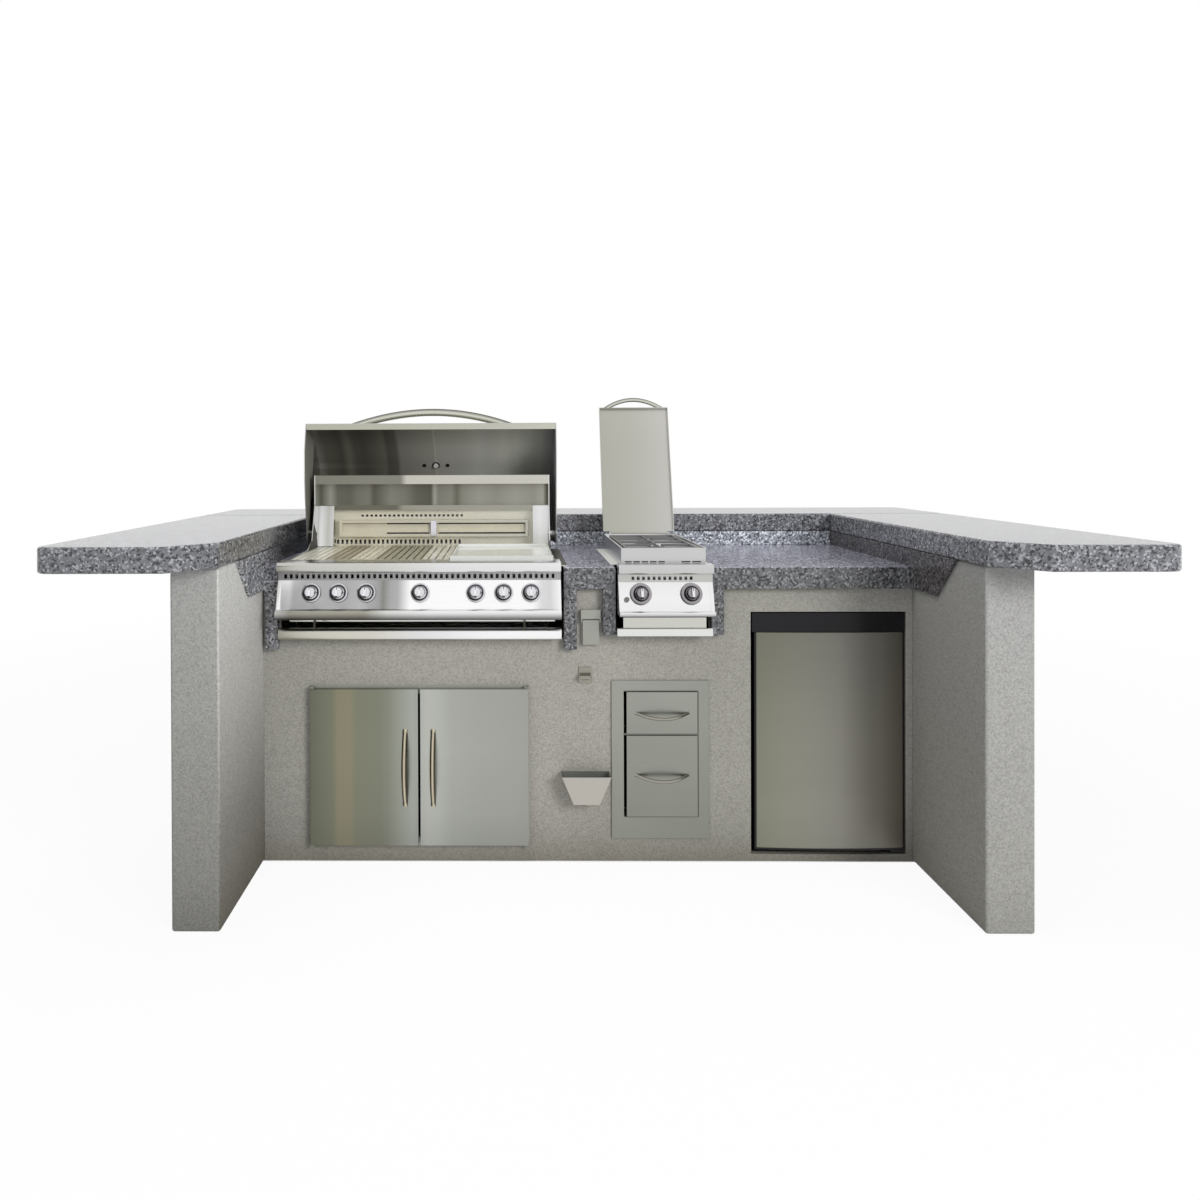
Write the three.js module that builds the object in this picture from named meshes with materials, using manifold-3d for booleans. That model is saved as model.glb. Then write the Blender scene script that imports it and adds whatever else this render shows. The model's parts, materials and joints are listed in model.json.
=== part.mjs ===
// Outdoor kitchen island: a U of stucco walls under a raised granite bar, with a lower granite worktop that holds
// a built-in grill with its hood open, a double side burner with its lid open, a pair of cupboard doors,
// two drawers and a compact refrigerator. Millimetres, +Z up, the cook stands on the -Y side.
import * as THREE from "three";
import { mergeVertices } from "three/addons/utils/BufferGeometryUtils.js";
import Module from "manifold-3d";

const wasm = await Module();
wasm.setup();

// Clearances and thicknesses that many pieces share
const seat = 0.3; // gap where two pieces touch
const running = 0.4; // radial gap of a pin or a stem in its hole
const sheet = 3; // folded stainless sheet
const overrun = 6; // how far a cutter passes a face

// Walls, bar top and worktop
const island = { width: 3300, depth: 1760, height: 1196 };
const bar = { thickness: 78, nearOverhang: 150, innerChamfer: 120, outerRounding: 50 };
const wing = { thickness: 150, between: 2326 };
const counter = { belowBarTop: 138, thickness: 78, overhang: 28, depth: 720, fromBarFront: 600 };
const facing = 12; // granite facing on the riser and the wings
const board = 25; // stucco on board, the front wall
const backWallThickness = 150;
const splash = { reach: 150, slant: 125 }; // in front of the worktop's edge
const stud = { size: 30, besideWing: 23, besideDrawers: 64, besideGrill: 8 };

// Granite legs that drop down both sides of each appliance front
const leg = { width: 46, grillDrop: 293, burnerDrop: 240 };

// Built-in grill. Heights count from the worktop's top and depths from the front wall's face.
const grill = {
  centre: -593,
  opening: 1021,
  openingDrop: 258,
  panelWidth: 995,
  width: 960,
  front: 16,
  rear: 508,
  bottom: -200,
  deck: 27,
  rearTop: 321,
  flange: 15, // past the cut-out's edge
};
const grillRear = {
  beamHeight: 36,
  beamDepth: 108,
  railTop: 194,
  railHeight: 20,
  railDepth: 25,
  housingWidth: 66,
  housingFoot: 68,
  housingHead: 38,
};
const grate = { ledgeTop: 13, ledgeDepth: 15, height: 12, bar: 8, bars: 11, split: 97, gap: 4 };
const griddle = { height: 24, wall: 6, rim: 16 };
const burner = { height: -102, radius: 13, holeGap: 3, count: 5, spacing: 190, railRadius: 10, railReach: 30 };
const tamer = { width: 110, rise: 30, ledgeTop: -63, strip: 14 };
const rearBurner = { width: 791, height: 70, depth: 26, middle: 97, side: 12 };
const drain = { width: 240, depth: 120 };
const runner = { foot: 16, drop: 55 };

// Hood, from its pivot, as it lies closed; it stands open at rest
const hood = {
  width: 1016,
  pivotFromRear: 93,
  pivotHeight: 82,
  lipReach: 450,
  lipDrop: 45,
  lipDepth: 25,
  rearReach: 60,
  rearRise: 265,
  cheekDrop: 70,
  ear: 35,
  openAngle: 90,
};
const hoodCrownShares = [
  [-0.34, 1.04],
  [-0.87, 0.68],
];
const cheekEdgeShares = [
  [-0.755, 1],
  [-0.5, 1],
  [-0.3, 0.86],
  [-0.11, 0.64],
];
const pin = { radius: 6, head: 11, headHeight: 4, boss: 16 };
const crownFacets = 21;
const thermometer = { radius: 32, depth: 14, stem: 8, nut: 11, nutDepth: 8, crownShare: 0.54 };
const hoodHandle = { span: 738, rise: 68, sag: 0, radius: 15, crownShare: 0.92 };

// Outline shared by both control panels, forwards of the wall's face and down from the worktop's top
const panel = {
  ledgeTop: 25,
  ledgeHeight: 35,
  ledgeReach: 87,
  ventReach: 65,
  faceTop: -38,
  faceBottom: -135,
  faceReach: 92,
  lipReach: 112,
  lipHeight: 37,
  lipRoundingShare: 0.4,
  rounding: 15,
  gusset: 12,
  tab: 6,
};
const knob = { radius: 24, grip: 19, height: 34, bar: 9, skirt: 6, bezel: 33, bezelHeight: 5, stem: 4, stemDepth: 26 };
const valve = { width: 26, depth: 36 };
const grillKnobs = { offsets: [-377, -282, -184, 5, 199, 297, 393], raised: 6 }; // above the middle of the face
const grillTray = { sideGap: 30, depth: 470, height: 28, top: -215, barWidth: 1000, barReach: 62, barDepth: 30, barHeight: 39 };

// Double side burner
const cooker = {
  centre: 271,
  opening: 338,
  openingDrop: 244,
  panelWidth: 330,
  panelLower: 9, // below the grill's panel
  lipHeight: 17,
  width: 300,
  front: -28,
  rear: 515,
  bottom: -60,
  rim: 69,
  deckDrop: 28,
  flange: 12,
};
const cookerKnobs = { offsets: [-88, 88], raised: 9 };
const head = { radius: 38, height: 15, hole: 44, fromFront: 150, apart: 240, tube: 9 };
const pot = { width: 262, length: 470, bar: 8, height: 10, foot: 16, fingers: 4 };
const lid = { width: 300, length: 560, thickness: 20, lift: 0.5, hingeGap: 8.5, openAngle: 105, rearGap: 12, above: 1, knuckle: 7, tube: 5 };
const lug = { thickness: 6, fromCentre: 120, depth: 30 };
const lidHandle = { span: 262, rise: 38, sag: 0, radius: 9 };
const cookerTray = {
  sideGap: 19,
  depth: 440,
  height: 22,
  barReach: 60,
  barDepth: 24,
  upper: 292,
  upperHeight: 37,
  headGap: 12, // under the panel's lip
  lower: 336,
  lowerHeight: 29,
  step: 8,
};
const button = { radius: 9, height: 5, travel: 3, stem: 4, offset: -138, drop: 10, depth: 22 };

// Cupboard doors. A top gap counts down from the worktop's underside.
const doors = { left: -993, width: 786, bottom: 58, topGap: 348, lap: 25, ring: 60, margin: 8, between: 8, thickness: 20, backGap: 2.7 };
const doorPin = { radius: 4, inset: 6, length: 5, lug: 8 };
const doorHandle = { span: 268, rise: 34, sag: 0, radius: 8, fromGap: 50, middle: 0.498 };

// Drawer unit
const drawers = { left: 88, width: 348, bottom: 83, topGap: 330, flange: 6, fit: 4.5, depth: 500 };
const drawerBorder = { left: 44, right: 38, top: 37, bottom: 78 };
const drawerFront = { proud: 12, thickness: 18, leftGap: 9, rightGap: 4, edgeGap: 3, between: 7, upperHeight: 149 };
const drawerBox = { depth: 450, side: 18, upperHeadGap: 39, lowerHeadGap: 46, lift: 14, ledge: 25, ledgeHeight: 6 };
const drawerHandle = { span: 191, rise: 38, sag: 11, radius: 5.5 };

// Compact refrigerator
const fridge = {
  left: 587,
  width: 553,
  bottom: 25,
  topGap: 86, // below the worktop's underside
  footGap: 2,
  headGap: 4,
  sideGap: 5,
  wall: 38,
  front: 52,
  rear: 560,
  trim: 68,
  trimSet: 1,
};
const fridgeDoor = { gap: 13, rightGap: 7, topGap: 2, bottomGap: 15, back: 50, edge: 2, bow: 10, pinInset: 9, pinRadius: 4, pinLength: 7 };
const fridgeBack = { cavity: 500, step: 160, stepFrom: 340 };
const shelf = { rise: 403, wire: 4, wires: 11, rib: 12, front: 70, rear: 320 };
const foot = { radius: 14, inset: 40 };
const bracket = { thickness: 5, width: 40, drop: 3 };

// Small fittings on the front wall, some at a depth below the worktop's top
const outlet = { centre: 14, belowCounter: 153, width: 70, height: 126, plate: 4, boxWidth: 54, boxHeight: 96, boxDepth: 50, shield: 33, shieldDepth: 12 };
const flap = { width: 58, height: 84, depth: 11, pin: 2, ear: 4 };
const socket = { slot: 3, tall: 9, apart: 13, pitch: 39, deep: 10 };
const opener = { centre: -6, belowCounter: 390, width: 44, tall: 58, plate: 4, reach: 26 };
const catcher = { centre: -6, top: 323, topWidth: 175, bottomWidth: 92, height: 97, depth: 60, wall: 2 };

const cornerSteps = 5;

// Places worked out from the sizes above
const nearY = -island.depth / 2;
const farY = island.depth / 2;
const frontY = nearY + counter.fromBarFront;
const riserY = frontY + counter.depth;
const backWallY = riserY + facing;
const wingFrontY = nearY + bar.nearOverhang;
const wallTop = island.height - bar.thickness;
const counterTop = island.height - counter.belowBarTop;
const counterBottom = counterTop - counter.thickness;
const counterFrontY = frontY - counter.overhang;
const innerX = wing.between / 2;
const outerX = innerX + wing.thickness;
const barInnerX = innerX - facing;
const trayHalf = grill.width / 2 - grillTray.sideGap;
const cookerTrayHalf = cooker.width / 2 - cookerTray.sideGap;
const doorsTop = counterBottom - doors.topGap;
const drawersTop = counterBottom - drawers.topGap;
const outletTop = counterTop - outlet.belowCounter;
const fridgeTop = counterBottom - fridge.topGap;

function finish(color, roughness, metalness) {
  return new THREE.MeshStandardMaterial({ color, roughness, metalness });
}
const stucco = finish(0x96948c, 0.95, 0);
const granite = finish(0x50555f, 0.2, 0);
const steel = finish(0xb9bab5, 0.32, 1);
const brightSteel = finish(0xd4d5d2, 0.18, 1);
const darkSteel = finish(0x6c6d6b, 0.5, 1);
const zinc = finish(0x8d9296, 0.55, 0.8);
const iron = finish(0x3a3a39, 0.7, 0.6);
const ceramic = finish(0xc8b796, 0.9, 0);
const black = finish(0x17181a, 0.45, 0);
const fridgeMetal = finish(0x8b8880, 0.4, 0.9);
const putty = finish(0xa09d94, 0.6, 0);

// Solids: closed geometries that can be joined and cut

function solidOf(geometry) {
  const bare = geometry.clone();
  bare.deleteAttribute("normal");
  bare.deleteAttribute("uv");
  const merged = mergeVertices(bare);
  const index = merged.index.array;
  const faces = [];
  for (let i = 0; i < index.length; i += 3) {
    const [a, b, c] = [index[i], index[i + 1], index[i + 2]];
    if (a !== b && b !== c && c !== a) faces.push([a, b, c]);
  }
  const make = (rows) =>
    new wasm.Manifold(
      new wasm.Mesh({
        numProp: 3,
        vertProperties: new Float32Array(merged.attributes.position.array),
        triVerts: new Uint32Array(rows.flat()),
      }),
    );
  const made = make(faces);
  return made.volume() < 0 ? make(faces.map(([a, b, c]) => [a, c, b])) : made;
}

function join(first, ...others) {
  return others.reduce((all, next) => all.add(next), first);
}

function cut(first, ...others) {
  return others.reduce((all, next) => all.subtract(next), first);
}

function block([x0, x1], [y0, y1], [z0, z1]) {
  const geometry = new THREE.BoxGeometry(x1 - x0, y1 - y0, z1 - z0);
  geometry.translate((x0 + x1) / 2, (y0 + y1) / 2, (z0 + z1) / 2);
  return solidOf(geometry);
}

const axes = {
  x: new THREE.Matrix4().makeBasis(
    new THREE.Vector3(0, 1, 0),
    new THREE.Vector3(0, 0, 1),
    new THREE.Vector3(1, 0, 0),
  ),
  y: new THREE.Matrix4().makeBasis(
    new THREE.Vector3(1, 0, 0),
    new THREE.Vector3(0, 0, 1),
    new THREE.Vector3(0, -1, 0),
  ),
  z: new THREE.Matrix4(),
};

// An outline pushed along an axis. It is drawn in the other two axes, in X, Y, Z order.
function prism(outline, axis, [low, high]) {
  const shape = new THREE.Shape(outline.map(([u, v]) => new THREE.Vector2(u, v)));
  const geometry = new THREE.ExtrudeGeometry(shape, { depth: high - low, bevelEnabled: false });
  geometry.translate(0, 0, axis === "y" ? -high : low);
  geometry.applyMatrix4(axes[axis]);
  return solidOf(geometry);
}

// Rounds the corners that carry a third value, which is how far back along each side the rounding starts.
function rounded(corners) {
  return corners.flatMap(([u, v, back], index) => {
    if (!back) return [[u, v]];
    const corner = new THREE.Vector2(u, v);
    const [before, after] = [corners.length - 1, 1].map((step) => {
      const [nextU, nextV] = corners[(index + step) % corners.length];
      return new THREE.Vector2(nextU, nextV).sub(corner).setLength(back).add(corner);
    });
    const curve = new THREE.QuadraticBezierCurve(before, corner, after);
    return curve.getPoints(cornerSteps).map((point) => [point.x, point.y]);
  });
}

// A line of points moved sideways by a distance, to the left of the way it runs.
function beside(line, distance) {
  const leftOf = ([u0, v0], [u1, v1]) => new THREE.Vector2(v0 - v1, u1 - u0).normalize();
  return line.map((point, index) => {
    const before = index > 0 ? leftOf(line[index - 1], point) : null;
    const after = index < line.length - 1 ? leftOf(point, line[index + 1]) : null;
    const first = before ?? after;
    const second = after ?? before;
    const mitre = first.clone().add(second);
    mitre.multiplyScalar(distance / (1 + first.dot(second)));
    return [point[0] + mitre.x, point[1] + mitre.y];
  });
}

// A round rod between two points.
function rod(from, to, radius, sides = 16) {
  const start = new THREE.Vector3(...from);
  const end = new THREE.Vector3(...to);
  const geometry = new THREE.CylinderGeometry(radius, radius, start.distanceTo(end), sides);
  const turn = new THREE.Quaternion().setFromUnitVectors(
    new THREE.Vector3(0, 1, 0),
    end.clone().sub(start).normalize(),
  );
  geometry.applyQuaternion(turn);
  geometry.translate(...start.add(end).multiplyScalar(0.5).toArray());
  return solidOf(geometry);
}

// A profile of [radius, height] points turned about the Z axis, then placed by a matrix.
function turned(profile, sides, place = new THREE.Matrix4()) {
  const geometry = new THREE.LatheGeometry(
    profile.map(([radius, height]) => new THREE.Vector2(radius, height)),
    sides,
  );
  geometry.rotateX(Math.PI / 2);
  geometry.applyMatrix4(place);
  return solidOf(geometry);
}

// A bowed bar handle on the plane y = 0: it bulges towards -Y and may sag towards -Z.
function bowHandle({ span, rise, sag, radius }) {
  const path = new THREE.QuadraticBezierCurve3(
    new THREE.Vector3(-span / 2, radius, 0),
    new THREE.Vector3(0, -2 * rise - radius, -2 * sag),
    new THREE.Vector3(span / 2, radius, 0),
  );
  const section = new THREE.Shape().absarc(0, 0, radius, 0, 2 * Math.PI);
  const geometry = new THREE.ExtrudeGeometry(section, {
    steps: 20,
    curveSegments: cornerSteps,
    bevelEnabled: false,
    extrudePath: path,
  });
  const behind = block([-span, span], [-seat, 3 * radius], [-span, span]);
  return cut(solidOf(geometry), behind);
}

// A tray or pan with an open top.
function pan([x0, x1], [y0, y1], [z0, z1], wall) {
  const inside = block([x0 + wall, x1 - wall], [y0 + wall, y1 - wall], [z0 + wall, z1 + overrun]);
  return cut(block([x0, x1], [y0, y1], [z0, z1]), inside);
}

function piece(name, solid, material, parent) {
  const made = solid.getMesh();
  const indexed = new THREE.BufferGeometry();
  indexed.setAttribute("position", new THREE.BufferAttribute(new Float32Array(made.vertProperties), 3));
  indexed.setIndex(new THREE.BufferAttribute(made.triVerts, 1));
  const geometry = indexed.toNonIndexed();
  geometry.computeVertexNormals();
  const mesh = new THREE.Mesh(geometry, material.clone());
  mesh.name = name;
  parent.add(mesh);
  return mesh;
}

// Walls

const frontCutouts = {
  grill: cutoutAround(grill.centre, grill.opening, counterTop - grill.openingDrop),
  cooker: cutoutAround(cooker.centre, cooker.opening, counterTop - cooker.openingDrop),
  doors: {
    x: [doors.left + doors.lap, doors.left + doors.width - doors.lap],
    z: [doors.bottom + doors.lap, doorsTop - doors.lap],
  },
  drawers: {
    x: [
      drawers.left + drawerBorder.left - drawers.fit,
      drawers.left + drawers.width - drawerBorder.right + drawers.fit,
    ],
    z: [
      drawers.bottom + drawerBorder.bottom - drawers.fit,
      drawersTop - drawerBorder.top + drawers.fit,
    ],
  },
  fridge: {
    x: [fridge.left, fridge.left + fridge.width],
    z: [fridge.bottom, fridgeTop],
  },
  outlet: {
    x: [outlet.centre - outlet.boxWidth / 2 - seat, outlet.centre + outlet.boxWidth / 2 + seat],
    z: [
      outletTop - (outlet.height + outlet.boxHeight) / 2 - seat,
      outletTop - (outlet.height - outlet.boxHeight) / 2 + seat,
    ],
  },
};

// A wall cut-out that stays open at the worktop.
function cutoutAround(centre, width, bottom) {
  return { x: [centre - width / 2, centre + width / 2], z: [bottom, counterBottom + overrun] };
}

function frontWall() {
  const whole = block([seat - innerX, innerX - seat], [frontY, frontY + board], [0, counterBottom - seat]);
  const cutters = Object.values(frontCutouts).map(({ x, z }) =>
    block(x, [frontY - overrun, frontY + board + overrun], z),
  );
  return cut(whole, ...cutters);
}

function wingWall(side) {
  const x = [side * innerX, side * outerX].sort((a, b) => a - b);
  return block(x, [wingFrontY, backWallY - seat], [0, wallTop - seat]);
}

function backWall() {
  return block([-outerX, outerX], [backWallY, backWallY + backWallThickness], [0, wallTop - seat]);
}

// Bents of studs and joists that tie the front wall to the back wall and carry the worktop.
function studFrame() {
  const size = stud.size;
  const y0 = frontY + board + seat;
  const y1 = backWallY - seat;
  const z1 = counterBottom - seat;
  const grillEdge = grill.centre + grill.opening / 2;
  const lefts = [
    stud.besideWing - innerX,
    grillEdge + stud.besideGrill,
    drawers.left + drawers.width + stud.besideDrawers,
  ];
  const bents = lefts.flatMap((x) => [
    block([x, x + size], [y0, y0 + size], [0, z1]),
    block([x, x + size], [y1 - size, y1], [0, z1]),
    block([x, x + size], [y0, y1], [0, size]),
    block([x, x + size], [y0, y1], [z1 - size, z1]),
  ]);
  const ends = [lefts[0], innerX - seat];
  return join(
    ...bents,
    block(ends, [y1 - size, y1], [0, size]),
    block(ends, [y1 - size, y1], [z1 - size, z1]),
    block([lefts[0], fridge.left + fridge.width / 2], [y0, y0 + size], [0, fridge.bottom - seat]),
  );
}

// Granite

function barSlab(corners) {
  return prism(rounded(corners), "z", [wallTop, island.height]);
}

function sideBar(side) {
  const outer = (side * island.width) / 2;
  const inner = side * barInnerX;
  const corners = [
    [outer, nearY, bar.outerRounding],
    [inner + side * bar.innerChamfer, nearY],
    [inner, nearY + bar.innerChamfer],
    [inner, riserY - seat],
    [outer, riserY - seat],
  ];
  return barSlab(corners);
}

function backBar() {
  const half = island.width / 2;
  return barSlab([
    [-half, riserY],
    [half, riserY],
    [half, farY, bar.outerRounding],
    [-half, farY, bar.outerRounding],
  ]);
}

function riser() {
  const half = barInnerX - seat;
  return block([-half, half], [riserY, backWallY - seat], [counterTop + seat, wallTop - seat]);
}

function splashPanel(side) {
  const front = counterFrontY - seat;
  const outline = [
    [backWallY - seat, counterTop + seat],
    [backWallY - seat, wallTop - seat],
    [front - splash.reach - splash.slant, wallTop - seat],
    [front - splash.reach, counterBottom],
    [front, counterBottom],
    [front, counterTop + seat],
  ];
  const x = [side * barInnerX, side * (innerX - seat)].sort((a, b) => a - b);
  return prism(outline, "x", x);
}

// The worktop with its two cut-outs and the four legs that return down beside them.
function worktop() {
  const rear = { grill: frontY + grill.rear + overrun * 2, cooker: frontY + cooker.rear + overrun * 2 };
  const slab = block(
    [seat - innerX, innerX - seat],
    [counterFrontY, backWallY - seat],
    [counterBottom, counterTop],
  );
  const holes = ["grill", "cooker"].map((name) =>
    block(
      frontCutouts[name].x,
      [counterFrontY - overrun, rear[name]],
      [counterBottom - overrun, counterTop + overrun],
    ),
  );
  const drops = { grill: leg.grillDrop, cooker: leg.burnerDrop };
  const legs = ["grill", "cooker"].flatMap((name) => {
    const [x0, x1] = frontCutouts[name].x;
    return [
      [x0 - leg.width, x0],
      [x1, x1 + leg.width],
    ].map((x) =>
      block(x, [counterFrontY, frontY - seat], [counterTop - drops[name], counterTop - overrun]),
    );
  });
  return join(cut(slab, ...holes), ...legs);
}

// Control panels: a folded shell, open behind, with bosses and holes for the stems

const faceTilt = Math.atan((panel.faceReach - panel.ventReach) / (panel.faceTop - panel.faceBottom));

// Where a knob or button stands: local +Z points out of the slanted face.
function onFace(x, lower, down = 0) {
  const share = 0.5 + down / (panel.faceTop - panel.faceBottom);
  const y = -THREE.MathUtils.lerp(panel.ventReach, panel.faceReach, share);
  const z = THREE.MathUtils.lerp(panel.faceTop, panel.faceBottom, share) - lower;
  return new THREE.Matrix4().makeRotationX(Math.PI / 2 - faceTilt).setPosition(x, y, z);
}

function controlPanel({ width, back, lower, lipHeight, knobs, extras, tabs }) {
  const { ledgeTop, ledgeHeight, ledgeReach, ventReach, faceTop, faceBottom, faceReach, lipReach } = panel;
  const top = ledgeTop - lower;
  const lipBottom = faceBottom - lipHeight - lower;
  const lipRounding = panel.lipRoundingShare * lipHeight;
  const corners = [
    [back, top],
    [-ledgeReach, top, panel.rounding],
    [-ledgeReach, top - ledgeHeight, panel.rounding],
    [-ventReach, top - ledgeHeight],
    [-ventReach, faceTop - lower],
    [-faceReach, faceBottom - lower],
    [-lipReach, faceBottom - lower, lipRounding],
    [-lipReach, lipBottom, lipRounding],
    [back, lipBottom],
  ];
  const line = rounded(corners);
  const inner = beside(line, sheet);
  inner[0][0] = back + overrun;
  inner[inner.length - 1][0] = back + overrun;
  const half = width / 2;
  const shell = cut(prism(line, "x", [-half, half]), prism(inner, "x", [sheet - half, half - sheet]));
  const wedge = [
    [-ventReach, faceTop - lower],
    [-lipReach + panel.rounding, faceBottom - lower + seat],
    [-lipReach + panel.rounding, faceBottom - lower - sheet],
    [sheet - ventReach, faceBottom - lower - sheet],
  ];
  const gussets = [-1, 1].map((side) => {
    const x = [side * half, side * (half - panel.gusset)].sort((a, b) => a - b);
    return prism(wedge, "x", x);
  });
  const bosses = knobs.offsets.map((x) =>
    turned(
      [
        [0, -sheet / 2],
        [knob.bezel, -sheet / 2],
        [knob.bezel, knob.bezelHeight / 2],
        [knob.bezel - knob.bezelHeight / 2, knob.bezelHeight],
        [0, knob.bezelHeight],
      ],
      20,
      onFace(x, lower, -knobs.raised),
    ),
  );
  const holes = [
    ...knobs.offsets.map((x) => [onFace(x, lower, -knobs.raised), knob.stem + running]),
    ...extras.map(({ x, down, radius }) => [onFace(x, lower, down), radius + running]),
  ].map(([place, radius]) =>
    turned(
      [
        [0, -4 * sheet],
        [radius, -4 * sheet],
        [radius, knob.bezelHeight + overrun],
        [0, knob.bezelHeight + overrun],
      ],
      12,
      place,
    ),
  );
  const hangers = tabs.map(({ x, bottom }) =>
    block([x - panel.tab / 2, x + panel.tab / 2], [-ventReach, -ventReach + grillTray.barDepth / 2], [
      bottom,
      lipBottom + sheet / 2,
    ]),
  );
  return cut(join(shell, ...gussets, ...bosses, ...hangers), ...holes);
}

// A round knob with a grip bar; its stem runs back to the valve.
function knobSolid() {
  const base = knob.bezelHeight + seat;
  const top = base + knob.height;
  const body = turned(
    [
      [0, -knob.stemDepth],
      [knob.stem, -knob.stemDepth],
      [knob.stem, base],
      [knob.radius, base],
      [knob.radius, base + knob.skirt],
      [knob.grip, base + knob.skirt + sheet],
      [knob.grip - sheet, top - sheet],
      [0, top - sheet],
    ],
    18,
  );
  const grip = block([-knob.bar / 2, knob.bar / 2], [sheet - knob.grip, knob.grip - sheet], [base + knob.skirt, top]);
  return join(body, grip);
}

// A rail with one valve behind each knob.
function gasRail(knobs, lower) {
  const place = onFace(0, lower, -knobs.raised);
  const centre = new THREE.Vector3(0, 0, -knob.stemDepth - seat - valve.depth / 2).applyMatrix4(place);
  const half = Math.max(...knobs.offsets) + valve.width;
  const rail = rod([-half, centre.y, centre.z], [half, centre.y, centre.z], burner.railRadius, 12);
  const valves = knobs.offsets.map((x) => {
    const geometry = new THREE.BoxGeometry(valve.width, valve.width, valve.depth);
    geometry.translate(0, 0, -knob.stemDepth - seat - valve.depth / 2);
    geometry.applyMatrix4(onFace(x, lower, -knobs.raised));
    return solidOf(geometry);
  });
  return { solid: join(rail, ...valves), y: centre.y, z: centre.z };
}

// Grill

const tubeOffsets = Array.from({ length: burner.count }, (_, i) => (i - (burner.count - 1) / 2) * burner.spacing);
const grillRail = gasRail(grillKnobs, 0);

function sidePlate() {
  const rise = [
    [0.48, 0],
    [0.33, 0.11],
    [0.27, 0.36],
    [0.22, 0.6],
  ];
  const { front, rear, bottom, deck, rearTop } = grill;
  return [
    [front, bottom],
    [front, deck],
    ...rise.map(([backShare, upShare]) => [
      rear - backShare * (rear - front),
      deck + upShare * (rearTop - deck),
    ]),
    [rear - grillRear.beamDepth, rearTop],
    [rear, rearTop],
    [rear, bottom],
  ];
}

function fireboxSolid() {
  const half = grill.width / 2;
  const { front, rear, bottom, deck, rearTop } = grill;
  const beamFront = rear - grillRear.beamDepth;
  const inFront = [front + sheet / 2, front + sheet + grate.ledgeDepth];
  const inRear = [rear - sheet - grate.ledgeDepth, rear - sheet / 2];
  const flangeX = grill.opening / 2 + grill.flange;
  const pivotY = rear - hood.pivotFromRear;
  const bossEnd = hood.width / 2 - sheet - seat;
  const walls = [
    prism(sidePlate(), "x", [-half, sheet - half]),
    prism(sidePlate(), "x", [half - sheet, half]),
    block([-half, half], [front, front + sheet], [bottom, panel.ledgeTop]),
    block([-half, half], [rear - sheet, rear], [bottom, rearTop]),
    block([-half, half], [front, rear], [bottom, bottom + sheet]),
    block([-half, half], [beamFront, rear], [rearTop - sheet, rearTop]),
    block([-half, half], [beamFront, beamFront + sheet], [rearTop - grillRear.beamHeight, rearTop]),
    block([-half, half], [rear - grillRear.railDepth, rear - sheet / 2], [
      grillRear.railTop - sheet,
      grillRear.railTop,
    ]),
    block([-half, half], [rear - grillRear.railDepth, rear - grillRear.railDepth + sheet], [
      grillRear.railTop - grillRear.railHeight,
      grillRear.railTop,
    ]),
  ];
  const ledges = [grate.ledgeTop, tamer.ledgeTop, burner.height - burner.radius - seat].flatMap((top, index) => {
    const z = [top - sheet, top];
    const rearLedge = block([-half, half], inRear, z);
    return index < 2 ? [block([-half, half], inFront, z), rearLedge] : [rearLedge];
  });
  const housings = [-1, 1].map((side) => {
    const x = [side * (half - sheet / 2), side * (half - grillRear.housingWidth)].sort((a, b) => a - b);
    const outline = [
      [rear - sheet / 2, deck],
      [rear - grillRear.housingFoot, deck],
      [rear - grillRear.housingHead, grillRear.railTop - sheet / 2],
      [rear - sheet / 2, grillRear.railTop - sheet / 2],
    ];
    return prism(outline, "x", x);
  });
  const flanges = [-1, 1].map((side) => {
    const x = [side * (half - sheet / 2), side * flangeX].sort((a, b) => a - b);
    return block(x, [front, rear], [seat, seat + sheet]);
  });
  const rearFlange = block([-flangeX, flangeX], [rear - sheet, rear + overrun * 2 + grill.flange], [
    seat,
    seat + sheet,
  ]);
  const bosses = [-1, 1].map((side) =>
    rod([side * (half - sheet / 2), pivotY, hood.pivotHeight], [side * bossEnd, pivotY, hood.pivotHeight], pin.boss),
  );
  const runners = [-1, 1].flatMap((side) => {
    const wallX = side * (trayHalf + sheet);
    const outside = [wallX, wallX + side * sheet].sort((a, b) => a - b);
    const under = [wallX + side * sheet, wallX - side * runner.foot].sort((a, b) => a - b);
    const y = [front + sheet, rear - overrun];
    const low = bottom - runner.drop;
    return [block(outside, y, [low, bottom + sheet / 2]), block(under, y, [low, low + sheet])];
  });
  const holes = [
    ...tubeOffsets.map((x) =>
      rod([x, front - overrun, burner.height], [x, front + 2 * overrun, burner.height], burner.radius + burner.holeGap),
    ),
    ...[-1, 1].map((side) =>
      rod(
        [side * (half - 2 * overrun), pivotY, hood.pivotHeight],
        [(side * hood.width) / 2, pivotY, hood.pivotHeight],
        pin.radius + seat,
        12,
      ),
    ),
    block([-drain.width / 2, drain.width / 2], [rear / 2 - drain.depth / 2, rear / 2 + drain.depth / 2], [
      bottom - overrun,
      bottom + overrun,
    ]),
  ];
  return cut(
    join(...walls, ...ledges, ...housings, ...flanges, rearFlange, ...bosses, ...runners),
    ...holes,
  );
}

function grateSolid(x0, x1) {
  const y0 = grill.front + sheet + seat;
  const y1 = grill.rear - sheet - seat;
  const z = [grate.ledgeTop + seat, grate.ledgeTop + seat + grate.height];
  const low = [z[0], z[0] + grate.height / 2];
  const pitch = (x1 - x0 - grate.bar) / (grate.bars - 1);
  const barsAlong = Array.from({ length: grate.bars }, (_, i) => {
    const x = x0 + i * pitch;
    return block([x, x + grate.bar], [y0, y1], z);
  });
  const cross = [y0, (y0 + y1 - grate.bar) / 2, y1 - grate.bar].map((y) => block([x0, x1], [y, y + grate.bar], low));
  return join(...barsAlong, ...cross);
}

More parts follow.
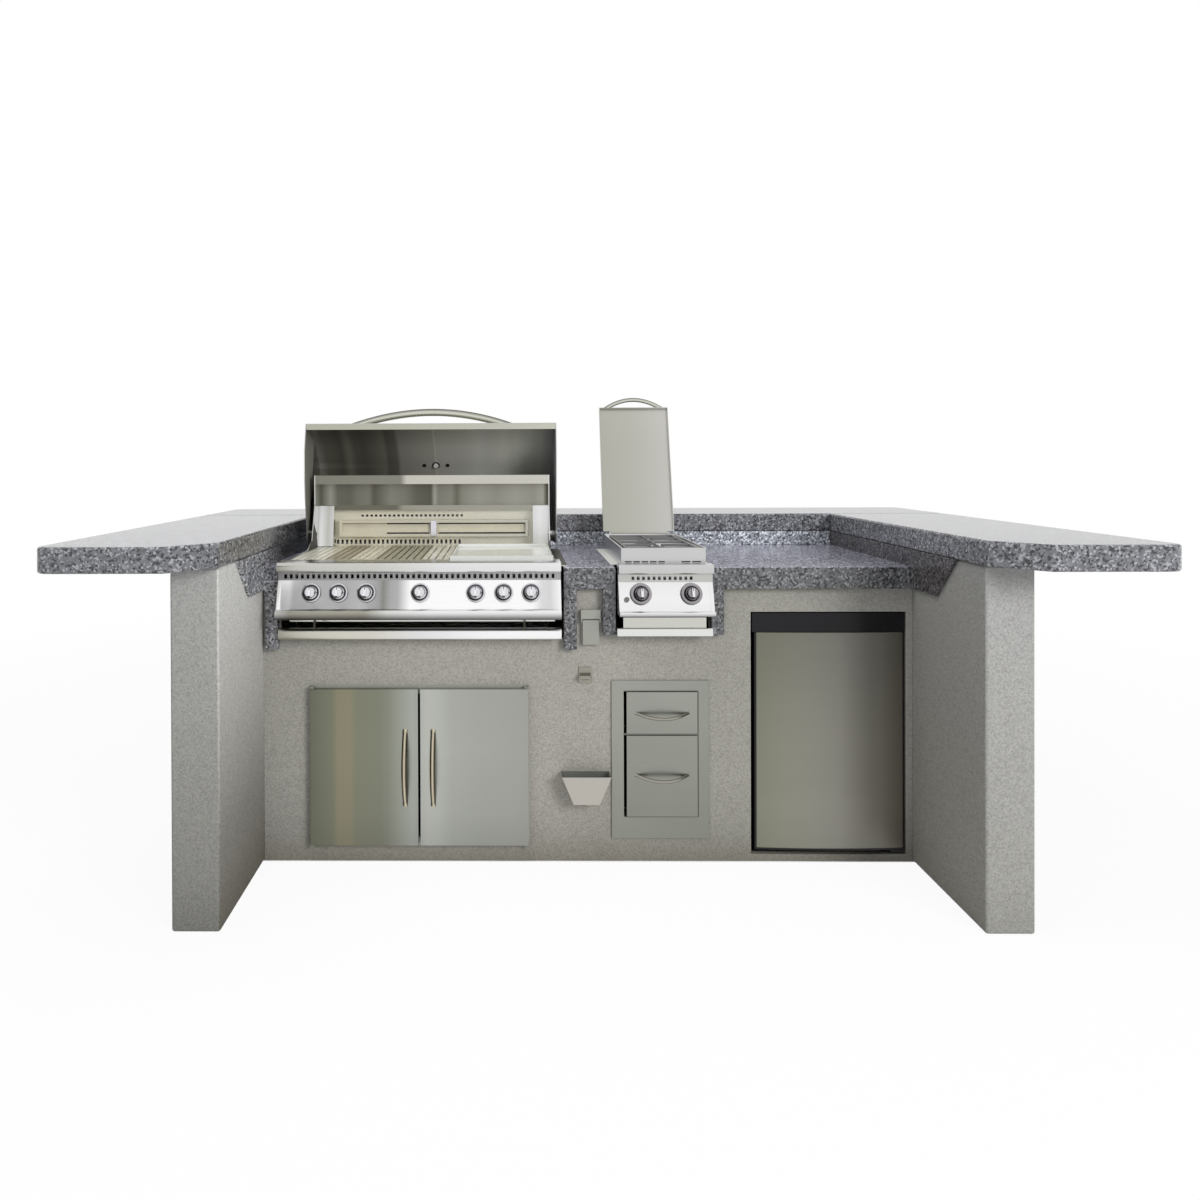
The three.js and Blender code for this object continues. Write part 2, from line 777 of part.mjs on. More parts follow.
function griddleSolid(x0, x1) {
  const rearClear = grillRear.housingFoot + seat;
  const y = [grill.front + sheet + seat, grill.rear - rearClear];
  const bottom = grate.ledgeTop + seat;
  const shallow = pan([x0, x1], y, [bottom, bottom + griddle.height], griddle.wall);
  const lipZ = [bottom, bottom + griddle.wall];
  const tongue = block([x0 + griddle.rim, x1 - grillRear.housingWidth], [y[1] - sheet, grill.rear - sheet - seat], lipZ);
  return join(shallow, tongue);
}

function tamerRack() {
  const y = [grill.front + sheet + seat, grill.rear - sheet - seat];
  const base = tamer.ledgeTop + seat;
  const half = tamer.width / 2;
  const roof = [
    [-half, base],
    [0, base + tamer.rise],
    [half, base],
    [half - 2 * sheet, base],
    [0, base + tamer.rise - sheet],
    [2 * sheet - half, base],
  ];
  const roofs = tubeOffsets.map((x) => prism(roof.map(([u, v]) => [u + x, v]), "y", y));
  const reach = tubeOffsets.at(-1) + half;
  const strips = [
    [y[0], y[0] + tamer.strip],
    [y[1] - tamer.strip, y[1]],
  ].map((span) => block([-reach, reach], span, [base, base + sheet]));
  return join(...roofs, ...strips);
}

function burnerManifold() {
  const tubes = tubeOffsets.map((x) =>
    rod(
      [x, grillRail.y, burner.height],
      [x, grill.rear - sheet - grate.ledgeDepth / 2, burner.height],
      burner.radius,
      12,
    ),
  );
  return join(grillRail.solid, ...tubes);
}

function rearBurnerSolid() {
  const { width, height, depth, middle, side } = rearBurner;
  const y1 = grill.rear - sheet - seat;
  const y0 = y1 - depth;
  const frame = block([-width / 2, width / 2], [y0, y1], [middle - height / 2, middle + height / 2]);
  const well = block([side - width / 2, width / 2 - side], [y0 - overrun, y0 + side], [
    middle - height / 2 + side,
    middle + height / 2 - side,
  ]);
  return cut(frame, well);
}

// Hood, drawn closed about its pivot

const crown = new THREE.CubicBezierCurve(
  new THREE.Vector2(hood.rearReach, hood.rearRise),
  ...hoodCrownShares.map(([lipShare, riseShare]) => new THREE.Vector2(lipShare * hood.lipReach, riseShare * hood.rearRise)),
  new THREE.Vector2(-hood.lipReach, -hood.lipDrop),
);

const hoodSkin = crown.getPoints(crownFacets).map((point) => [point.x, point.y]);

// The middle of the facet at a share of the hood's crown, and the turn that points local -Y out of it.
function onHood(share) {
  const facet = Math.floor(share * crownFacets);
  const [[y0, z0], [y1, z1]] = hoodSkin.slice(facet, facet + 2);
  return { y: (y0 + y1) / 2, z: (z0 + z1) / 2, turn: Math.atan2(y1 - y0, z0 - z1) };
}

function hoodSolid() {
  const edge = cheekEdgeShares.map(([reachShare, dropShare]) => [
    reachShare * hood.lipReach,
    -dropShare * hood.cheekDrop,
  ]);
  const outline = [...hoodSkin, ...edge, ...rounded([
    edge.at(-1),
    [hood.ear, -hood.ear, hood.ear / 2],
    [hood.rearReach, hood.rearRise],
  ]).slice(1, -1)];
  const half = hood.width / 2;
  const inner = beside(hoodSkin, sheet);
  const below = -2 * hood.cheekDrop;
  const behind = 2 * hood.rearReach;
  const hollow = [[behind, inner[0][1]], ...inner, [inner.at(-1)[0], below], [behind, below]];
  const lipY = [-hood.lipReach, hood.lipDepth - hood.lipReach];
  const lip = block([sheet / 2 - half, half - sheet / 2], lipY, [-hood.lipDrop, sheet - hood.lipDrop]);
  const shell = cut(prism(outline, "x", [-half, half]), prism(hollow, "x", [sheet - half, half - sheet]));
  const gauge = onHood(thermometer.crownShare);
  const holes = [
    rod([-half - overrun, 0, 0], [half + overrun, 0, 0], pin.radius + seat, 12),
    turned(
      [
        [0, -thermometer.nutDepth],
        [thermometer.stem + running, -thermometer.nutDepth],
        [thermometer.stem + running, thermometer.depth],
        [0, thermometer.depth],
      ],
      12,
      new THREE.Matrix4().makeRotationX(gauge.turn + Math.PI / 2).setPosition(0, gauge.y, gauge.z),
    ),
  ];
  return cut(join(shell, lip), ...holes);
}

function gaugeSolid() {
  const { radius, depth, stem, nut, nutDepth } = thermometer;
  const under = -sheet - seat;
  return turned(
    [
      [0, under - nutDepth],
      [nut, under - nutDepth],
      [nut, under],
      [stem, under],
      [stem, seat],
      [radius, seat],
      [radius, depth - sheet],
      [radius - sheet, depth],
      [0, depth],
    ],
    20,
  );
}

// A shouldered pin through a cheek of the hood into the firebox; +Z points out of the side.
function pinSolid() {
  const inside = grill.width / 2 - 3 * sheet;
  const cheek = hood.width / 2 + seat;
  return turned(
    [
      [0, inside],
      [pin.radius, inside],
      [pin.radius, cheek],
      [pin.head, cheek],
      [pin.head, cheek + pin.headHeight],
      [0, cheek + pin.headHeight],
    ],
    14,
  );
}

function grillTraySolid() {
  const { depth, height, top, barWidth, barReach, barDepth, barHeight } = grillTray;
  const barTop = top + sheet;
  const barZ = barTop - barHeight;
  const backY = barDepth - barReach;
  const nose = rounded([
    [backY, barTop],
    [-barReach, barTop, barDepth / 2],
    [-barReach, barZ, barDepth / 2],
    [backY, barZ],
  ]);
  const trough = pan([-trayHalf, trayHalf], [backY - sheet, depth + backY], [top - height, top], sheet);
  return join(prism(nose, "x", [-barWidth / 2, barWidth / 2]), trough);
}

// Side burner

const cookerRail = gasRail(cookerKnobs, cooker.panelLower);
const headY = [0, 1].map((i) => cooker.front + head.fromFront + i * head.apart);
const deckTop = cooker.rim - cooker.deckDrop;
const lidPivot = { y: cooker.rear + lid.rearGap, z: cooker.rim + lid.above };

function cookerBox() {
  const half = cooker.width / 2;
  const { front, rear, bottom, rim } = cooker;
  const flangeX = cooker.opening / 2 + cooker.flange;
  const shell = cut(
    block([-half, half], [front, rear], [bottom, rim]),
    block([sheet - half, half - sheet], [front + sheet, rear - sheet], [bottom + sheet, rim + overrun]),
  );
  const deck = block([-half, half], [front, rear], [deckTop - sheet, deckTop]);
  const flanges = [
    block([-flangeX, flangeX], [frontY - counterFrontY, rear + 3 * overrun], [seat, seat + sheet]),
  ].map((plate) =>
    cut(plate, block([sheet - half, half - sheet], [front + sheet, rear - sheet], [-overrun, overrun])),
  );
  const lugs = [-1, 1].map((side) => {
    const x = [side * lug.fromCentre, side * (lug.fromCentre + lug.thickness)].sort((a, b) => a - b);
    const outline = rounded([
      [rear - sheet / 2, rim - lug.depth],
      [lidPivot.y + lid.knuckle, rim - lug.depth],
      [lidPivot.y + lid.knuckle, lidPivot.z + lid.knuckle, lid.knuckle],
      [lidPivot.y - lid.knuckle, lidPivot.z + lid.knuckle, lid.knuckle],
      [lidPivot.y - lid.knuckle, rim - sheet],
      [rear - sheet / 2, rim - sheet],
    ]);
    return prism(outline, "x", x);
  });
  const runners = [-1, 1].flatMap((side) => {
    const wallX = side * (cookerTrayHalf + sheet);
    const outside = [wallX, wallX + side * sheet].sort((a, b) => a - b);
    const under = [wallX + side * sheet, wallX - side * runner.foot].sort((a, b) => a - b);
    const y = [front + sheet, rear - overrun];
    const low = cookerTrayTop - cookerTray.height - seat - sheet;
    return [block(outside, y, [low, bottom + sheet / 2]), block(under, y, [low, low + sheet])];
  });
  const holes = [
    rod([-half, lidPivot.y, lidPivot.z], [half, lidPivot.y, lidPivot.z], lid.knuckle / 2 + running, 12),
    ...headY.flatMap((y) => [
      rod([0, y, deckTop - overrun], [0, y, deckTop + overrun], head.hole),
      rod([0, y, bottom - overrun], [0, y, bottom + overrun], head.tube + burner.holeGap, 12),
    ]),
  ];
  return cut(join(shell, deck, ...flanges, ...lugs, ...runners), ...holes);
}

// The rail with one tube back under the deck and a riser to each burner head.
function cookerBurners() {
  const tube = rod([0, cookerRail.y, cookerRail.z], [0, headY[1], cookerRail.z], head.tube, 12);
  const heads = headY.flatMap((y) => [
    rod([0, y, cookerRail.z - head.tube / 2], [0, y, deckTop], head.tube, 12),
    turned(
      [
        [0, deckTop - overrun],
        [head.radius, deckTop - overrun],
        [head.radius, deckTop + head.height / 2],
        [head.radius - overrun, deckTop + head.height],
        [0, deckTop + head.height],
      ],
      20,
      new THREE.Matrix4().setPosition(0, y, 0),
    ),
  ]);
  return join(cookerRail.solid, tube, ...heads);
}

// A pan support: a frame on feet, a middle bar and fingers that point at each burner.
function potSupport() {
  const { width, length, bar: size, height, foot: rise } = pot;
  const base = deckTop + seat;
  const z = [base + rise, base + rise + height];
  const middle = (headY[0] + headY[1]) / 2;
  const x = [-width / 2, width / 2];
  const y = [middle - length / 2, middle + length / 2];
  const frame = cut(
    block(x, y, z),
    block([x[0] + size, x[1] - size], [y[0] + size, y[1] - size], [z[0] - overrun, z[1] + overrun]),
  );
  const bridge = block(x, [middle - size / 2, middle + size / 2], z);
  const reach = head.radius / 2;
  const fingers = headY.flatMap((centre) => [
    block([x[0], -reach], [centre - size / 2, centre + size / 2], z),
    block([reach, x[1]], [centre - size / 2, centre + size / 2], z),
    block([-size / 2, size / 2], [Math.max(y[0], centre - head.apart / 2), centre - reach], z),
    block([-size / 2, size / 2], [centre + reach, Math.min(y[1], centre + head.apart / 2)], z),
  ]);
  const feet = x.flatMap((edge) =>
    y.map((end) => {
      const xs = edge < 0 ? [edge, edge + size] : [edge - size, edge];
      const ys = end < middle ? [end, end + size] : [end - size, end];
      return block(xs, ys, [base, z[1]]);
    }),
  );
  return join(frame, bridge, ...fingers, ...feet);
}

// The lid, drawn closed about its hinge: a shallow folded cover on a hinge tube whose pins turn in the two lugs.
const lidZ = [lid.lift, lid.lift + lid.thickness];

function lidSolid() {
  const half = lid.width / 2;
  const y = [-lid.length, -lid.hingeGap];
  const cover = cut(
    block([-half, half], y, lidZ),
    block([sheet - half, half - sheet], [y[0] + sheet, y[1] - sheet], [lidZ[0] - overrun, lidZ[1] - sheet]),
  );
  const inner = lug.fromCentre - seat;
  const reach = inner + lug.thickness + 2 * seat;
  const tube = rod([-inner, 0, 0], [inner, 0, 0], lid.tube);
  const web = block([-inner, inner], [y[1] - sheet, 0], [lidZ[0], lidZ[0] + sheet]);
  return join(cover, web, tube, rod([-reach, 0, 0], [reach, 0, 0], lid.knuckle / 2, 12));
}

const cookerTrayTop =
  panel.faceBottom - cooker.lipHeight - cooker.panelLower - cookerTray.headGap - cookerTray.upperHeight;

function cookerTraySolid() {
  const { depth, height, barReach, barDepth, upper, upperHeight, lower, lowerHeight, step } = cookerTray;
  const backY = barDepth - barReach;
  const top = cookerTrayTop;
  const fascia = join(
    block([-upper / 2, upper / 2], [step - barReach, backY], [top - overrun, top + upperHeight]),
    prism(
      rounded([
        [backY, top],
        [-barReach, top, step / 2],
        [-barReach, top - lowerHeight, step / 2],
        [backY, top - lowerHeight],
      ]),
      "x",
      [-lower / 2, lower / 2],
    ),
  );
  return join(fascia, pan([-cookerTrayHalf, cookerTrayHalf], [backY - sheet, depth], [top - height, top], sheet));
}

function buttonSolid() {
  const lift = button.travel + 2 * seat;
  return turned(
    [
      [0, -button.depth],
      [button.stem, -button.depth],
      [button.stem, lift],
      [button.radius, lift],
      [button.radius, lift + button.height - 1],
      [button.radius - 1, lift + button.height],
      [0, lift + button.height],
    ],
    16,
  );
}

// Cupboard doors. Depths count from the front wall's face.

const doorBack = -seat - sheet - doors.backGap;
const doorPinY = doorBack - doors.thickness / 2 + 1;
const doorZ = [doors.bottom + doors.margin, doorsTop - doors.margin];
const doorLeftX = doors.left + sheet;
const doorRightX = doors.left + doors.width - sheet;
const doorMiddle = doors.left + doors.width / 2;

function doorFrame() {
  const outer = { x: [doors.left, doors.left + doors.width], z: [doors.bottom, doorsTop] };
  const { x, z } = frontCutouts.doors;
  const fit = 2 * seat;
  const sleeve = { x: [x[0] + fit, x[1] - fit], z: [z[0] + fit, z[1] - fit] };
  const clear = { x: [x[0] + fit + sheet, x[1] - fit - sheet], z: [z[0] + fit + sheet, z[1] - fit - sheet] };
  const frame = cut(
    join(
      block(outer.x, [-seat - sheet, -seat], outer.z),
      block(sleeve.x, [-seat - sheet / 2, doors.ring], sleeve.z),
    ),
    block(clear.x, [-overrun, doors.ring + overrun], clear.z),
  );
  const lugs = [doorLeftX + doorPin.inset, doorRightX - doorPin.inset].flatMap((pinX) => {
    const spanX = [pinX - doorPin.lug, pinX + doorPin.lug];
    const inside = [Math.max(spanX[0], outer.x[0]), Math.min(spanX[1], outer.x[1])];
    return [
      [outer.z[0], doorZ[0] - seat],
      [doorZ[1] + seat, outer.z[1]],
    ].map((zs) => block(inside, [doorPinY - doorPin.lug, -seat - sheet / 2], zs));
  });
  const holes = [doorLeftX + doorPin.inset, doorRightX - doorPin.inset].map((pinX) =>
    rod([pinX, doorPinY, outer.z[0] - overrun], [pinX, doorPinY, outer.z[1] + overrun], doorPin.radius + running, 12),
  );
  const lugsOnly = cut(join(...lugs.slice(1), lugs[0]), ...holes);
  return join(frame, lugsOnly);
}

function doorSolid(side) {
  const edge = side < 0 ? doorLeftX : doorRightX;
  const free = doorMiddle + (side * doors.between) / 2;
  const x = [edge, free].sort((a, b) => a - b);
  const y = [doorBack - doors.thickness, doorBack];
  const shell = cut(
    block(x, y, doorZ),
    block([x[0] + 5 * sheet, x[1] - sheet], [y[0] + sheet, y[1] + overrun], [doorZ[0] + sheet, doorZ[1] - sheet]),
  );
  const spine = block(
    side < 0 ? [x[0], x[0] + 5 * sheet] : [x[1] - 5 * sheet, x[1]],
    y,
    doorZ,
  );
  const pinX = edge - side * doorPin.inset;
  const pins = rod(
    [pinX, doorPinY, doorZ[0] - doorPin.length],
    [pinX, doorPinY, doorZ[1] + doorPin.length],
    doorPin.radius,
    12,
  );
  return join(shell, spine, pins);
}

// Drawer unit

const drawerClear = {
  x: [drawers.left + drawerBorder.left, drawers.left + drawers.width - drawerBorder.right],
  z: [drawers.bottom + drawerBorder.bottom, drawersTop - drawerBorder.top],
};
const drawerFrontX = [drawerClear.x[0] + drawerFront.leftGap, drawerClear.x[1] - drawerFront.rightGap];
const upperFrontZ = [
  drawerClear.z[1] - drawerFront.edgeGap - drawerFront.upperHeight,
  drawerClear.z[1] - drawerFront.edgeGap,
];
const lowerFrontZ = [drawerClear.z[0] + drawerFront.edgeGap, upperFrontZ[0] - drawerFront.between];

function drawerCabinet() {
  const { x, z } = drawerClear;
  const flange = block(
    [drawers.left, drawers.left + drawers.width],
    [-seat - drawers.flange, -seat],
    [drawers.bottom, drawersTop],
  );
  const body = block([x[0] - sheet, x[1] + sheet], [-seat - sheet, drawers.depth], [z[0] - sheet, z[1] + sheet]);
  const inside = block(x, [-2 * drawers.flange, drawers.depth - sheet], z);
  const ledges = [upperFrontZ, lowerFrontZ].flatMap(([low]) => {
    const top = low + drawerBox.lift - seat;
    return [
      [x[0] - sheet / 2, x[0] + drawerBox.ledge],
      [x[1] - drawerBox.ledge, x[1] + sheet / 2],
    ].map((span) => block(span, [2 * drawerFront.thickness, drawers.depth - sheet], [top - drawerBox.ledgeHeight, top]));
  });
  return join(cut(join(flange, body), inside), ...ledges);
}

function drawerSolid(frontZ, headGap) {
  const y0 = -seat - drawerFront.proud;
  const y1 = y0 + drawerFront.thickness;
  const front = block(drawerFrontX, [y0, y1], frontZ);
  const x = [drawerClear.x[0] + drawerBox.side, drawerClear.x[1] - drawerBox.side];
  const z = [frontZ[0] + drawerBox.lift, frontZ[1] - headGap];
  return join(front, pan(x, [y1 - sheet, y1 + drawerBox.depth], z, sheet));
}

// Refrigerator

const fridgeX = [fridge.left + fridge.sideGap, fridge.left + fridge.width - fridge.sideGap];
const fridgeZ = [fridge.bottom + fridge.footGap, fridgeTop - fridge.headGap];
const fridgeDoorZ = [fridgeZ[0] + fridgeDoor.bottomGap, fridgeZ[1] - fridge.trim - fridgeDoor.topGap];
const shelfTop = fridgeZ[0] + shelf.rise;
const cavityX = [fridgeX[0] + fridge.wall, fridgeX[1] - fridge.wall];
const cavityZ = [fridgeZ[0] + fridge.wall, fridgeZ[1] - fridge.trim - fridge.wall];
const fridgePin = {
  x: fridge.left + fridge.width - fridgeDoor.rightGap - fridgeDoor.pinInset,
  y: fridgeDoor.edge + fridgeDoor.rightGap,
};

function fridgeCabinet() {
  const body = block(fridgeX, [fridge.front, fridge.rear], fridgeZ);
  const trim = block(fridgeX, [fridge.trimSet, fridge.front + sheet], [fridgeZ[1] - fridge.trim, fridgeZ[1]]);
  const cavity = cut(
    block(cavityX, [fridge.front - overrun, fridgeBack.cavity], cavityZ),
    block(
      [cavityX[0] - overrun, cavityX[1] + overrun],
      [fridgeBack.stepFrom, fridgeBack.cavity + overrun],
      [fridgeZ[0], fridgeZ[0] + fridgeBack.step],
    ),
  );
  const ribs = [
    [cavityX[0] - sheet, cavityX[0] + shelf.rib],
    [cavityX[1] - shelf.rib, cavityX[1] + sheet],
  ].map((x) => block(x, [fridge.front + sheet, shelf.rear], [shelfTop - 2 * shelf.wire, shelfTop]));
  const plate = block(
    [fridgePin.x - bracket.width, fridgePin.x + fridgeDoor.pinInset],
    [fridgeDoor.edge, fridge.front + sheet],
    [fridgeDoorZ[0] - bracket.drop - bracket.thickness, fridgeDoorZ[0] - bracket.drop],
  );
  const feet = [fridgeX[0] + foot.inset, fridgeX[1] - foot.inset].flatMap((x) =>
    [fridge.front + foot.inset, fridge.rear - foot.inset].map((y) =>
      rod([x, y, 0], [x, y, fridgeZ[0] + sheet], foot.radius),
    ),
  );
  const hole = rod(
    [fridgePin.x, fridgePin.y, fridgeZ[0]],
    [fridgePin.x, fridgePin.y, fridgeZ[1] - fridge.trim + fridgeDoor.pinLength + overrun],
    fridgeDoor.pinRadius + running,
    12,
  );
  return cut(join(cut(join(body, trim), cavity), ...ribs, plate, ...feet), hole);
}

function fridgeDoorSolid() {
  const x0 = fridge.left + fridgeDoor.gap;
  const x1 = fridge.left + fridge.width - fridgeDoor.rightGap;
  const middle = (x0 + x1) / 2;
  const bowed = new THREE.QuadraticBezierCurve(
    new THREE.Vector2(x0, fridgeDoor.edge),
    new THREE.Vector2(middle, fridgeDoor.edge - 2 * fridgeDoor.bow),
    new THREE.Vector2(x1, fridgeDoor.edge),
  );
  const outline = [...bowed.getPoints(12).map((point) => [point.x, point.y]), [x1, fridgeDoor.back], [x0, fridgeDoor.back]];
  const pins = rod(
    [fridgePin.x, fridgePin.y, fridgeDoorZ[0] - fridgeDoor.pinLength],
    [fridgePin.x, fridgePin.y, fridgeDoorZ[1] + fridgeDoor.pinLength],
    fridgeDoor.pinRadius,
    12,
  );
  return join(prism(outline, "z", fridgeDoorZ), pins);
}

function fridgeShelf() {
  const x = [cavityX[0] + sheet, cavityX[1] - sheet];
  const y = [shelf.front, shelf.rear - sheet];
  const z = [shelfTop + seat, shelfTop + seat + shelf.wire];
  const pitch = (x[1] - x[0] - shelf.wire) / (shelf.wires - 1);
  const wires = Array.from({ length: shelf.wires }, (_, i) => {
    const left = x[0] + i * pitch;
    return block([left, left + shelf.wire], y, z);
  });
  const low = [z[0], z[0] + shelf.wire / 2];
  const cross = [y[0], (y[0] + y[1]) / 2, y[1] - shelf.wire].map((edge) => block(x, [edge, edge + shelf.wire], low));
  return join(...wires, ...cross);
}

// Small fittings. X counts from each fitting's own centre.

const flapPivot = { y: -seat - outlet.plate - flap.depth / 2, z: outletTop - outlet.shield - 2 * flap.ear };

function outletBox() {
  const half = outlet.width / 2;
  const low = outletTop - outlet.height;
  const middle = outletTop - outlet.height / 2;
  const face = -seat - outlet.plate;
  const body = join(
    block([-half, half], [face, -seat], [low, outletTop]),
    block([-outlet.boxWidth / 2, outlet.boxWidth / 2], [-seat - sheet, outlet.boxDepth], [
      middle - outlet.boxHeight / 2,
      middle + outlet.boxHeight / 2,
    ]),
    block([-half, half], [face - outlet.shieldDepth, -seat - sheet / 2], [outletTop - outlet.shield, outletTop]),
    ...[-1, 1].map((side) => {
      const x = [side * half, side * (half - flap.ear)].sort((a, b) => a - b);
      return block(x, [face - outlet.shieldDepth, -seat - sheet / 2], [
        flapPivot.z - flap.ear,
        outletTop - outlet.shield / 2,
      ]);
    }),
  );
  const slots = [0, 1].flatMap((row) => {
    const z = middle - outlet.shield / 2 + socket.pitch / 2 - row * socket.pitch;
    return [-1, 1].map((side) => {
      const x = (side * socket.apart) / 2;
      return block([x - socket.slot / 2, x + socket.slot / 2], [face - overrun, face + socket.deep], [
        z - socket.tall / 2,
        z + socket.tall / 2,
      ]);
    });
  });
  const hole = rod([-half - overrun, flapPivot.y, flapPivot.z], [half + overrun, flapPivot.y, flapPivot.z], flap.pin + running, 12);
  return cut(body, ...slots, hole);
}

function flapSolid() {
  const half = flap.width / 2;
  const face = -seat - outlet.plate;
  const x = [-half, half];
  const y = [face - flap.depth, face - seat];
  const z = [flapPivot.z - flap.height, flapPivot.z + flap.ear];
  const cover = cut(
    block(x, y, z),
    block([sheet - half, half - sheet], [y[0] + sheet, y[1] + overrun], [z[0] + sheet, flapPivot.z - 2 * flap.ear]),
    block([x[0] - overrun, x[1] + overrun], [flapPivot.y + sheet, y[1] + overrun], [
      flapPivot.z - 2 * flap.ear,
      z[1] + overrun,
    ]),
  );
  const reach = outlet.width / 2 - seat;
  return join(cover, rod([-reach, flapPivot.y, flapPivot.z], [reach, flapPivot.y, flapPivot.z], flap.pin, 12));
}

function openerSolid() {
  const half = opener.width / 2;
  const { belowCounter, tall, plate, reach } = opener;
  const height = counterTop - belowCounter;
  const back = block([-half, half], [-seat - plate, -seat], [height - tall / 2, height + tall / 2]);
  const hookShares = [
    [0, 0.34],
    [-0.8, 0.12],
    [-1, -0.1],
    [-1, -0.28],
    [-0.78, -0.28],
    [-0.62, -0.06],
    [0, 0.06],
  ];
  const toothShares = [
    [0, -0.62],
    [-0.5, -0.58],
    [-0.5, -0.42],
    [0, -0.36],
  ];
  const outline = (shares) => shares.map(([outShare, upShare]) => [
    outShare * reach - plate,
    height + (upShare * tall) / 2,
  ]);
  return join(
    back,
    prism(outline(hookShares), "x", [sheet - half, half - sheet]),
    prism(outline(toothShares), "x", [-half / 2, half / 2]),
  );
}

function catcherSolid() {
  const { top, topWidth, bottomWidth, height, depth, wall } = catcher;
  const low = top - height;
  const outer = [
    [-topWidth / 2, top],
    [topWidth / 2, top],
    [bottomWidth / 2, low],
    [-bottomWidth / 2, low],
  ];
  const inner = [
    [wall - topWidth / 2, top + overrun],
    [topWidth / 2 - wall, top + overrun],
    [bottomWidth / 2 - wall, low + wall],
    [wall - bottomWidth / 2, low + wall],
  ];
  return cut(prism(outer, "y", [-seat - depth, -seat]), prism(inner, "y", [wall - depth - seat, -seat - wall]));
}

// Assembly

const group = new THREE.Group();

function frameAt(x, y, z, parent = group) {
  const made = new THREE.Group();
  made.position.set(x, y, z);
  parent.add(made);
  return made;
}

piece("front_wall", frontWall(), stucco, group);
piece("back_wall", backWall(), stucco, group);
piece("left_wing_wall", wingWall(-1), stucco, group);
piece("right_wing_wall", wingWall(1), stucco, group);
piece("stud_frame", studFrame(), zinc, group);
piece("worktop", worktop(), granite, group);
piece("riser", riser(), granite, group);
piece("left_splash", splashPanel(-1), granite, group);
piece("right_splash", splashPanel(1), granite, group);
piece("left_bar_top", sideBar(-1), granite, group);
piece("right_bar_top", sideBar(1), granite, group);
piece("back_bar_top", backBar(), granite, group);

const grillFrame = frameAt(grill.centre, frontY, counterTop);
piece("grill_firebox", fireboxSolid(), steel, grillFrame);
const grillPanel = controlPanel({
  width: grill.panelWidth,
  back: grill.front - seat,
  lower: 0,
  lipHeight: panel.lipHeight,
  knobs: grillKnobs,
  extras: [],
  tabs: [-1, 1].map((side) => ({ x: side * 370, bottom: grillTray.top + sheet + seat })),
});
piece("grill_control_panel", grillPanel, steel, grillFrame);
piece("burner_manifold", burnerManifold(), darkSteel, grillFrame);
piece("flame_tamers", tamerRack(), darkSteel, grillFrame);
piece("rear_burner", rearBurnerSolid(), ceramic, grillFrame);
const cookLeft = sheet + seat - grill.width / 2;
const cookMiddle = (cookLeft + grate.split - grate.gap) / 2;
piece("left_grate", grateSolid(cookLeft, cookMiddle), steel, grillFrame);
piece("right_grate", grateSolid(cookMiddle + grate.gap, grate.split), steel, grillFrame);
piece("griddle", griddleSolid(grate.split + grate.gap, grill.width / 2 - sheet - seat), steel, grillFrame);
piece("grill_drip_tray", grillTraySolid(), steel, grillFrame);
grillKnobs.offsets.forEach((x, index) => {
  const knobFrame = new THREE.Group();
  knobFrame.applyMatrix4(onFace(x, 0, -grillKnobs.raised));
  grillFrame.add(knobFrame);
  piece(`grill_knob_${index + 1}`, knobSolid(), brightSteel, knobFrame);
});

const hoodFrame = frameAt(0, grill.rear - hood.pivotFromRear, hood.pivotHeight, grillFrame);
hoodFrame.rotation.x = -THREE.MathUtils.degToRad(hood.openAngle);
piece("grill_hood", hoodSolid(), steel, hoodFrame);
const handleSpot = onHood(hoodHandle.crownShare);
const hoodHandleFrame = frameAt(0, handleSpot.y, handleSpot.z, hoodFrame);
hoodHandleFrame.rotation.x = handleSpot.turn;
piece("hood_handle", bowHandle(hoodHandle), brightSteel, hoodHandleFrame);
const gaugeSpot = onHood(thermometer.crownShare);
const gaugeFrame = frameAt(0, gaugeSpot.y, gaugeSpot.z, hoodFrame);
gaugeFrame.rotation.x = gaugeSpot.turn + Math.PI / 2;
piece("hood_thermometer", gaugeSolid(), brightSteel, gaugeFrame);
for (const [side, word] of [
  [-1, "left"],
  [1, "right"],
]) {
  const pinFrame = frameAt(0, grill.rear - hood.pivotFromRear, hood.pivotHeight, grillFrame);
  pinFrame.rotation.y = (side * Math.PI) / 2;
  piece(`${word}_hood_pin`, pinSolid(), brightSteel, pinFrame);
}

const cookerFrame = frameAt(cooker.centre, frontY, counterTop);
piece("side_burner_box", cookerBox(), steel, cookerFrame);
const cookerPanel = controlPanel({
  width: cooker.panelWidth,
  back: cooker.front - seat,
  lower: cooker.panelLower,
  lipHeight: cooker.lipHeight,
  knobs: cookerKnobs,
  extras: [{ x: button.offset, down: button.drop, radius: button.stem }],
  tabs: [],
});
piece("side_burner_panel", cookerPanel, steel, cookerFrame);
piece("side_burner_heads", cookerBurners(), iron, cookerFrame);
piece("side_burner_grate", potSupport(), iron, cookerFrame);
piece("side_burner_tray", cookerTraySolid(), steel, cookerFrame);
cookerKnobs.offsets.forEach((x, index) => {
  const knobFrame = new THREE.Group();
  knobFrame.applyMatrix4(onFace(x, cooker.panelLower, -cookerKnobs.raised));
  cookerFrame.add(knobFrame);
  piece(`side_burner_knob_${index + 1}`, knobSolid(), brightSteel, knobFrame);
});
const buttonFrame = new THREE.Group();
buttonFrame.applyMatrix4(onFace(button.offset, cooker.panelLower, button.drop));
cookerFrame.add(buttonFrame);
piece("igniter_button", buttonSolid(), black, buttonFrame);
const lidFrame = frameAt(0, lidPivot.y, lidPivot.z, cookerFrame);
lidFrame.rotation.x = -THREE.MathUtils.degToRad(lid.openAngle);
piece("side_burner_lid", lidSolid(), steel, lidFrame);
